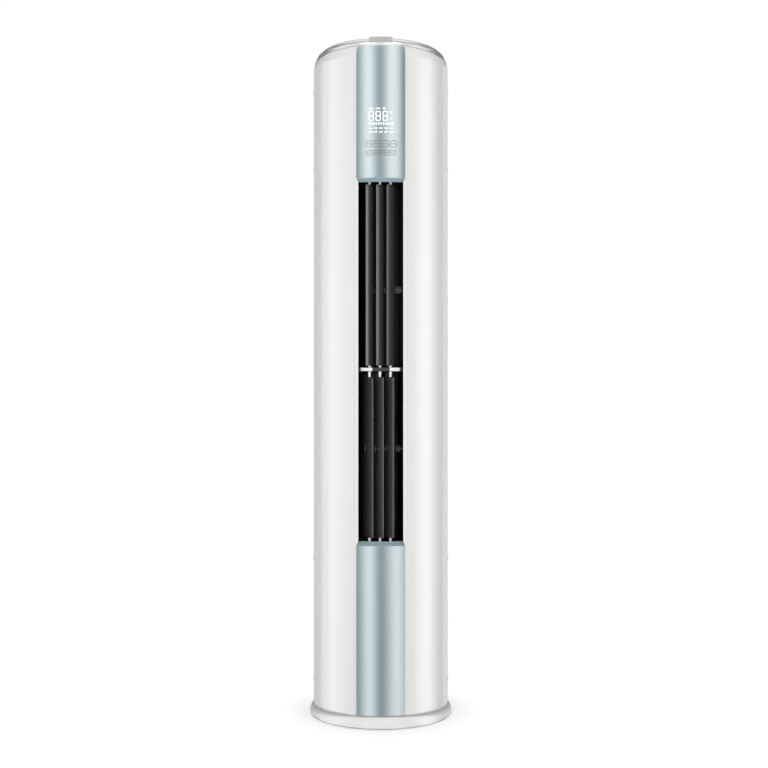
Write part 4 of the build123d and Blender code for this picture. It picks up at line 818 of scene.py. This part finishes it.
def add_screw(mesh_data, place, azimuth):
    """A pan head with a cross recess. It faces out at an azimuth in degrees from the right side."""
    turn = (Matrix.Translation(place) @ Matrix.Rotation(math.radians(azimuth), 4, "Z")
            @ Matrix.Rotation(math.radians(90), 4, "Y"))
    rings = []
    for radius, height in SCREW_PROFILE:
        ring = []
        for step in range(SCREW_STEPS):
            angle = 2 * math.pi * step / SCREW_STEPS
            across = math.cos(angle)
            up = math.sin(angle)
            slotted = radius < RECESS_REACH and min(abs(across), abs(up)) < RECESS_WIDTH
            level = height - (RECESS_DEPTH if slotted else 0.0)
            point = Vector((radius * across, radius * up, level)) * MM
            ring.append(mesh_data.verts.new(turn @ point))
        rings.append(ring)
    middle = mesh_data.verts.new(turn @ (Vector((0, 0, RECESS_MIDDLE)) * MM))
    for step in range(SCREW_STEPS):
        after = (step + 1) % SCREW_STEPS
        mesh_data.faces.new((middle, rings[0][step], rings[0][after]))
        for inner, outer in zip(rings, rings[1:]):
            mesh_data.faces.new((inner[step], outer[step], outer[after], inner[after]))


def casing_screws():
    """Four upright rows of screws, on both sides of each seam."""
    heads = bmesh.new()
    reach = SKIN + SCREW_LIFT
    for azimuth in (SEAM_TURN, 180 - SEAM_TURN, -SEAM_TURN, 180 + SEAM_TURN):
        angle = math.radians(azimuth)
        for z in SCREW_HEIGHTS:
            add_screw(heads, (reach * math.cos(angle), reach * math.sin(angle), z), azimuth)
    add_piece("casing_screws", heads, SCREW_ZINC)


casing_screws()

# ---- Studio -----------------------------------------------------------------------------------------

CAMERA_PLACE = (0.0, -3.333, 0.892)
CAMERA_LENS = 56.5
CAMERA_SHIFT = (0.0042, 0.0055)

WORLD_FILL = 0.45
LAMP_TURN = 37                                         # degrees to each side of the front
LAMP_DISTANCE = 2.6
LAMP_HEIGHT = 1.0
LAMP_SIZE = (0.8, 3.4)
LEFT_POWER = 30
RIGHT_POWER = 31
OVERHEAD_PLACE = (0.0, -0.2, 2.9)
OVERHEAD_SIZE = 0.9
OVERHEAD_POWER = 5

SWEEP_HALF_WIDTH = 9.0
SWEEP_HEIGHT = 7.0
SWEEP_START = 2.2                                      # behind the axis, where the floor curves up
SWEEP_RADIUS = 1.6
SWEEP_STEPS = 12
SWEEP_WHITE = 0.86                                     # share of plain white that the camera sees
SWEEP_GLOW = 1.10
FOOT_SHADE_START = 0.19                                # soft shade round the foot, from the axis
FOOT_SHADE_RUN = 0.10
FOOT_SHADE_WHITE = 0.55

# The drum of light has a brightness by azimuth in degrees: 0 is the front, and negative is to the left.

DRUM_RADIUS = 2.4
DRUM_STEP = 2
SIDE_LEFT = ((-180, 0.60), (-150, 0.60), (-135, 0.45), (-120, 0.40), (-111, 1.60), (-99, 1.80),
             (-90, 3.30), (-78, 2.80), (-66, 1.80), (-60, 1.50), (-54, 0.80), (-44, 0.50))
SIDE_RIGHT = ((43, 0.0), (50, 0.0), (56, 0.60), (62, 1.90), (74, 3.60), (86, 3.40), (90, 3.20),
              (96, 1.40), (102, 1.10), (111, 0.10), (123, 0.20), (135, 0.85), (150, 0.80), (180, 0.60))
LOW_STRIPS = ((-41, 0.0), (-39, 0.1), (-34, 0.52), (-29, 0.99), (-24, 1.52), (-19, 1.83), (-14, 1.58),
              (-9, 1.02), (-4, 0.4), (0, 0.19), (5, 0.25), (10, 0.65), (15, 1.09), (20, 1.51), (25, 1.8),
              (30, 1.78), (35, 1.35), (40, 0.89))
HIGH_STRIPS = ((-41, 0.0), (-38, 0.0), (-36, 0.45), (-34, 0.73), (-29, 1.31), (-24, 2.02), (-19, 2.18),
               (-14, 1.71), (-9, 0.95), (-4, 0.4), (0, 0.32), (5, 0.73), (10, 1.42), (15, 2.02),
               (20, 2.12), (25, 1.89), (30, 1.22), (34, 0.56), (36, 0.05), (41, 0.0))
TOP_LEFT = ((-180, 0.16), (-135, 0.12), (-108, 0.15), (-102, 0.35), (-96, 0.70), (-86, 0.85),
            (-56, 0.95), (-44, 0.90))
TOP_RIGHT = tuple((-azimuth, level) for azimuth, level in reversed(TOP_LEFT))
LOW_LIGHT = SIDE_LEFT + LOW_STRIPS + SIDE_RIGHT
HIGH_LIGHT = SIDE_LEFT + HIGH_STRIPS + SIDE_RIGHT
TOP_LIGHT = TOP_LEFT + HIGH_STRIPS + TOP_RIGHT
DRUM_ROWS = (                                          # height, brightness, and how far its azimuths spread
    (-5.0, LOW_LIGHT, 1.0),
    (-0.2, LOW_LIGHT, 1.0),
    (2.2, HIGH_LIGHT, 1.0),
    (2.5, HIGH_LIGHT, 1.0),
    (2.54, TOP_LIGHT, 1.0),
    (3.3, TOP_LIGHT, 1.09),
    (4.6, TOP_LIGHT, 1.32),
    (6.0, TOP_LIGHT, 1.65),
    (8.0, TOP_LIGHT, 2.1),
    (11.0, TOP_LIGHT, 2.5),
)


def add_camera():
    """A level camera in front of the object."""
    camera = put("camera", bpy.data.cameras.new("camera"))
    camera.location = CAMERA_PLACE
    camera.rotation_euler = (math.radians(90), 0, 0)
    camera.data.lens = CAMERA_LENS
    camera.data.sensor_width = 36.0
    camera.data.shift_x, camera.data.shift_y = CAMERA_SHIFT
    bpy.context.scene.camera = camera


def sweep_paper():
    """White paper that the camera sees as plain white, and a little less so round the foot."""
    paper = Finish("sweep", (0.90, 0.90, 0.90), 0.5)
    x = paper.along("X")
    y = paper.along("Y")
    clear = (((x * x + y * y).root() - FOOT_SHADE_START) * (1 / FOOT_SHADE_RUN)).limited()
    white = clear * (SWEEP_WHITE - FOOT_SHADE_WHITE) + FOOT_SHADE_WHITE
    body = Value(paper, paper.shader.outputs["BSDF"])
    glow = paper.node("ShaderNodeEmission", {}, {"Color": (1.0, 1.0, 1.0, 1.0), "Strength": SWEEP_GLOW})
    paper.show(paper.node("ShaderNodeMixShader", {}, {0: paper.ray("Camera") * white, 1: body, 2: glow}))
    return paper


def add_sweep():
    """Floor that curves up into a wall behind the object. It looks white, and keeps a soft shadow."""
    profile = [(-SWEEP_HALF_WIDTH, 0.0), (SWEEP_START, 0.0)]
    for step in range(1, SWEEP_STEPS + 1):
        angle = math.radians(90 * step / SWEEP_STEPS)
        profile.append((SWEEP_START + SWEEP_RADIUS * math.sin(angle), SWEEP_RADIUS * (1 - math.cos(angle))))
    profile.append((SWEEP_START + SWEEP_RADIUS, SWEEP_HEIGHT))
    points = [(side, y, z) for y, z in profile for side in (-SWEEP_HALF_WIDTH, SWEEP_HALF_WIDTH)]
    faces = [(step, step + 1, step + 3, step + 2) for step in range(0, len(points) - 2, 2)]
    mesh = bpy.data.meshes.new("sweep")
    mesh.from_pydata(points, [], faces)
    mesh.polygons.foreach_set("use_smooth", [True] * len(faces))
    mesh.materials.append(sweep_paper().material)
    sweep = put("sweep", mesh)
    sweep.visible_glossy = False


def light_world(fill):
    """White behind the object and in its reflections, and a softer fill light on it."""
    world = bpy.data.worlds.new("studio")
    bpy.context.scene.world = world
    world.use_nodes = True
    air = Nodes(world.node_tree)
    background = air.tree.nodes["Background"]
    seen = air.ray("Camera").larger(air.ray("Glossy")).larger(air.ray("Transmission"))
    air.connect(background.inputs["Color"], (1.0, 1.0, 1.0, 1.0))
    air.connect(background.inputs["Strength"], seen * (1.0 - fill) + fill)


def add_lamp(name, place, power):
    """A soft lamp that looks straight down. The camera and reflections don't see it."""
    lamp = put(name, bpy.data.lights.new(name, "AREA"))
    lamp.data.energy = power
    lamp.location = place
    lamp.visible_glossy = False
    lamp.visible_camera = False
    return lamp


def add_front_lamp(name, azimuth, power):
    """A tall soft lamp that faces the object's axis."""
    lamp = add_lamp(name, round_point(azimuth, LAMP_DISTANCE, LAMP_HEIGHT), power)
    lamp.rotation_euler = (math.radians(90), 0, math.radians(azimuth))
    lamp.data.shape = "RECTANGLE"
    lamp.data.size, lamp.data.size_y = LAMP_SIZE


def add_overhead_lamp():
    """A soft square lamp over the object."""
    lamp = add_lamp("overhead_lamp", OVERHEAD_PLACE, OVERHEAD_POWER)
    lamp.data.size = OVERHEAD_SIZE


def level_at(profile, azimuth):
    """Brightness of the drum at an azimuth, on straight lines between the profile's steps."""
    for (start, first), (end, second) in zip(profile, profile[1:]):
        if start <= azimuth <= end:
            return first + (second - first) * (azimuth - start) / (end - start)


def add_drum():
    """A drum of light round the object that only reflections see: soft boxes, strips and dark flags."""
    light = Finish("drum", (0.0, 0.0, 0.0), 1.0)
    level = light.node("ShaderNodeAttribute", {"attribute_name": "level"}, {}, "Color")
    light.show(light.node("ShaderNodeEmission", {}, {"Color": level}))
    wall = bmesh.new()
    levels = wall.verts.layers.float.new("level")
    columns = []
    for azimuth in range(-180, 181, DRUM_STEP):
        column = []
        for z, profile, spread in DRUM_ROWS:
            vertex = wall.verts.new(round_point(azimuth, DRUM_RADIUS, z))
            vertex[levels] = level_at(profile, azimuth / spread)
            column.append(vertex)
        columns.append(column)
    for near, far in zip(columns, columns[1:]):
        for row in range(len(DRUM_ROWS) - 1):
            wall.faces.new((near[row], far[row], far[row + 1], near[row + 1]))
    drum = put("drum", finished_mesh("drum", wall, light))
    drum.visible_camera = False
    drum.visible_diffuse = False
    drum.visible_shadow = False
    drum.visible_transmission = False


add_camera()
add_sweep()
light_world(WORLD_FILL)
add_front_lamp("left_lamp", -LAMP_TURN, LEFT_POWER)
add_front_lamp("right_lamp", LAMP_TURN, RIGHT_POWER)
add_overhead_lamp()
add_drum()
bpy.context.scene.view_settings.view_transform = "Standard"
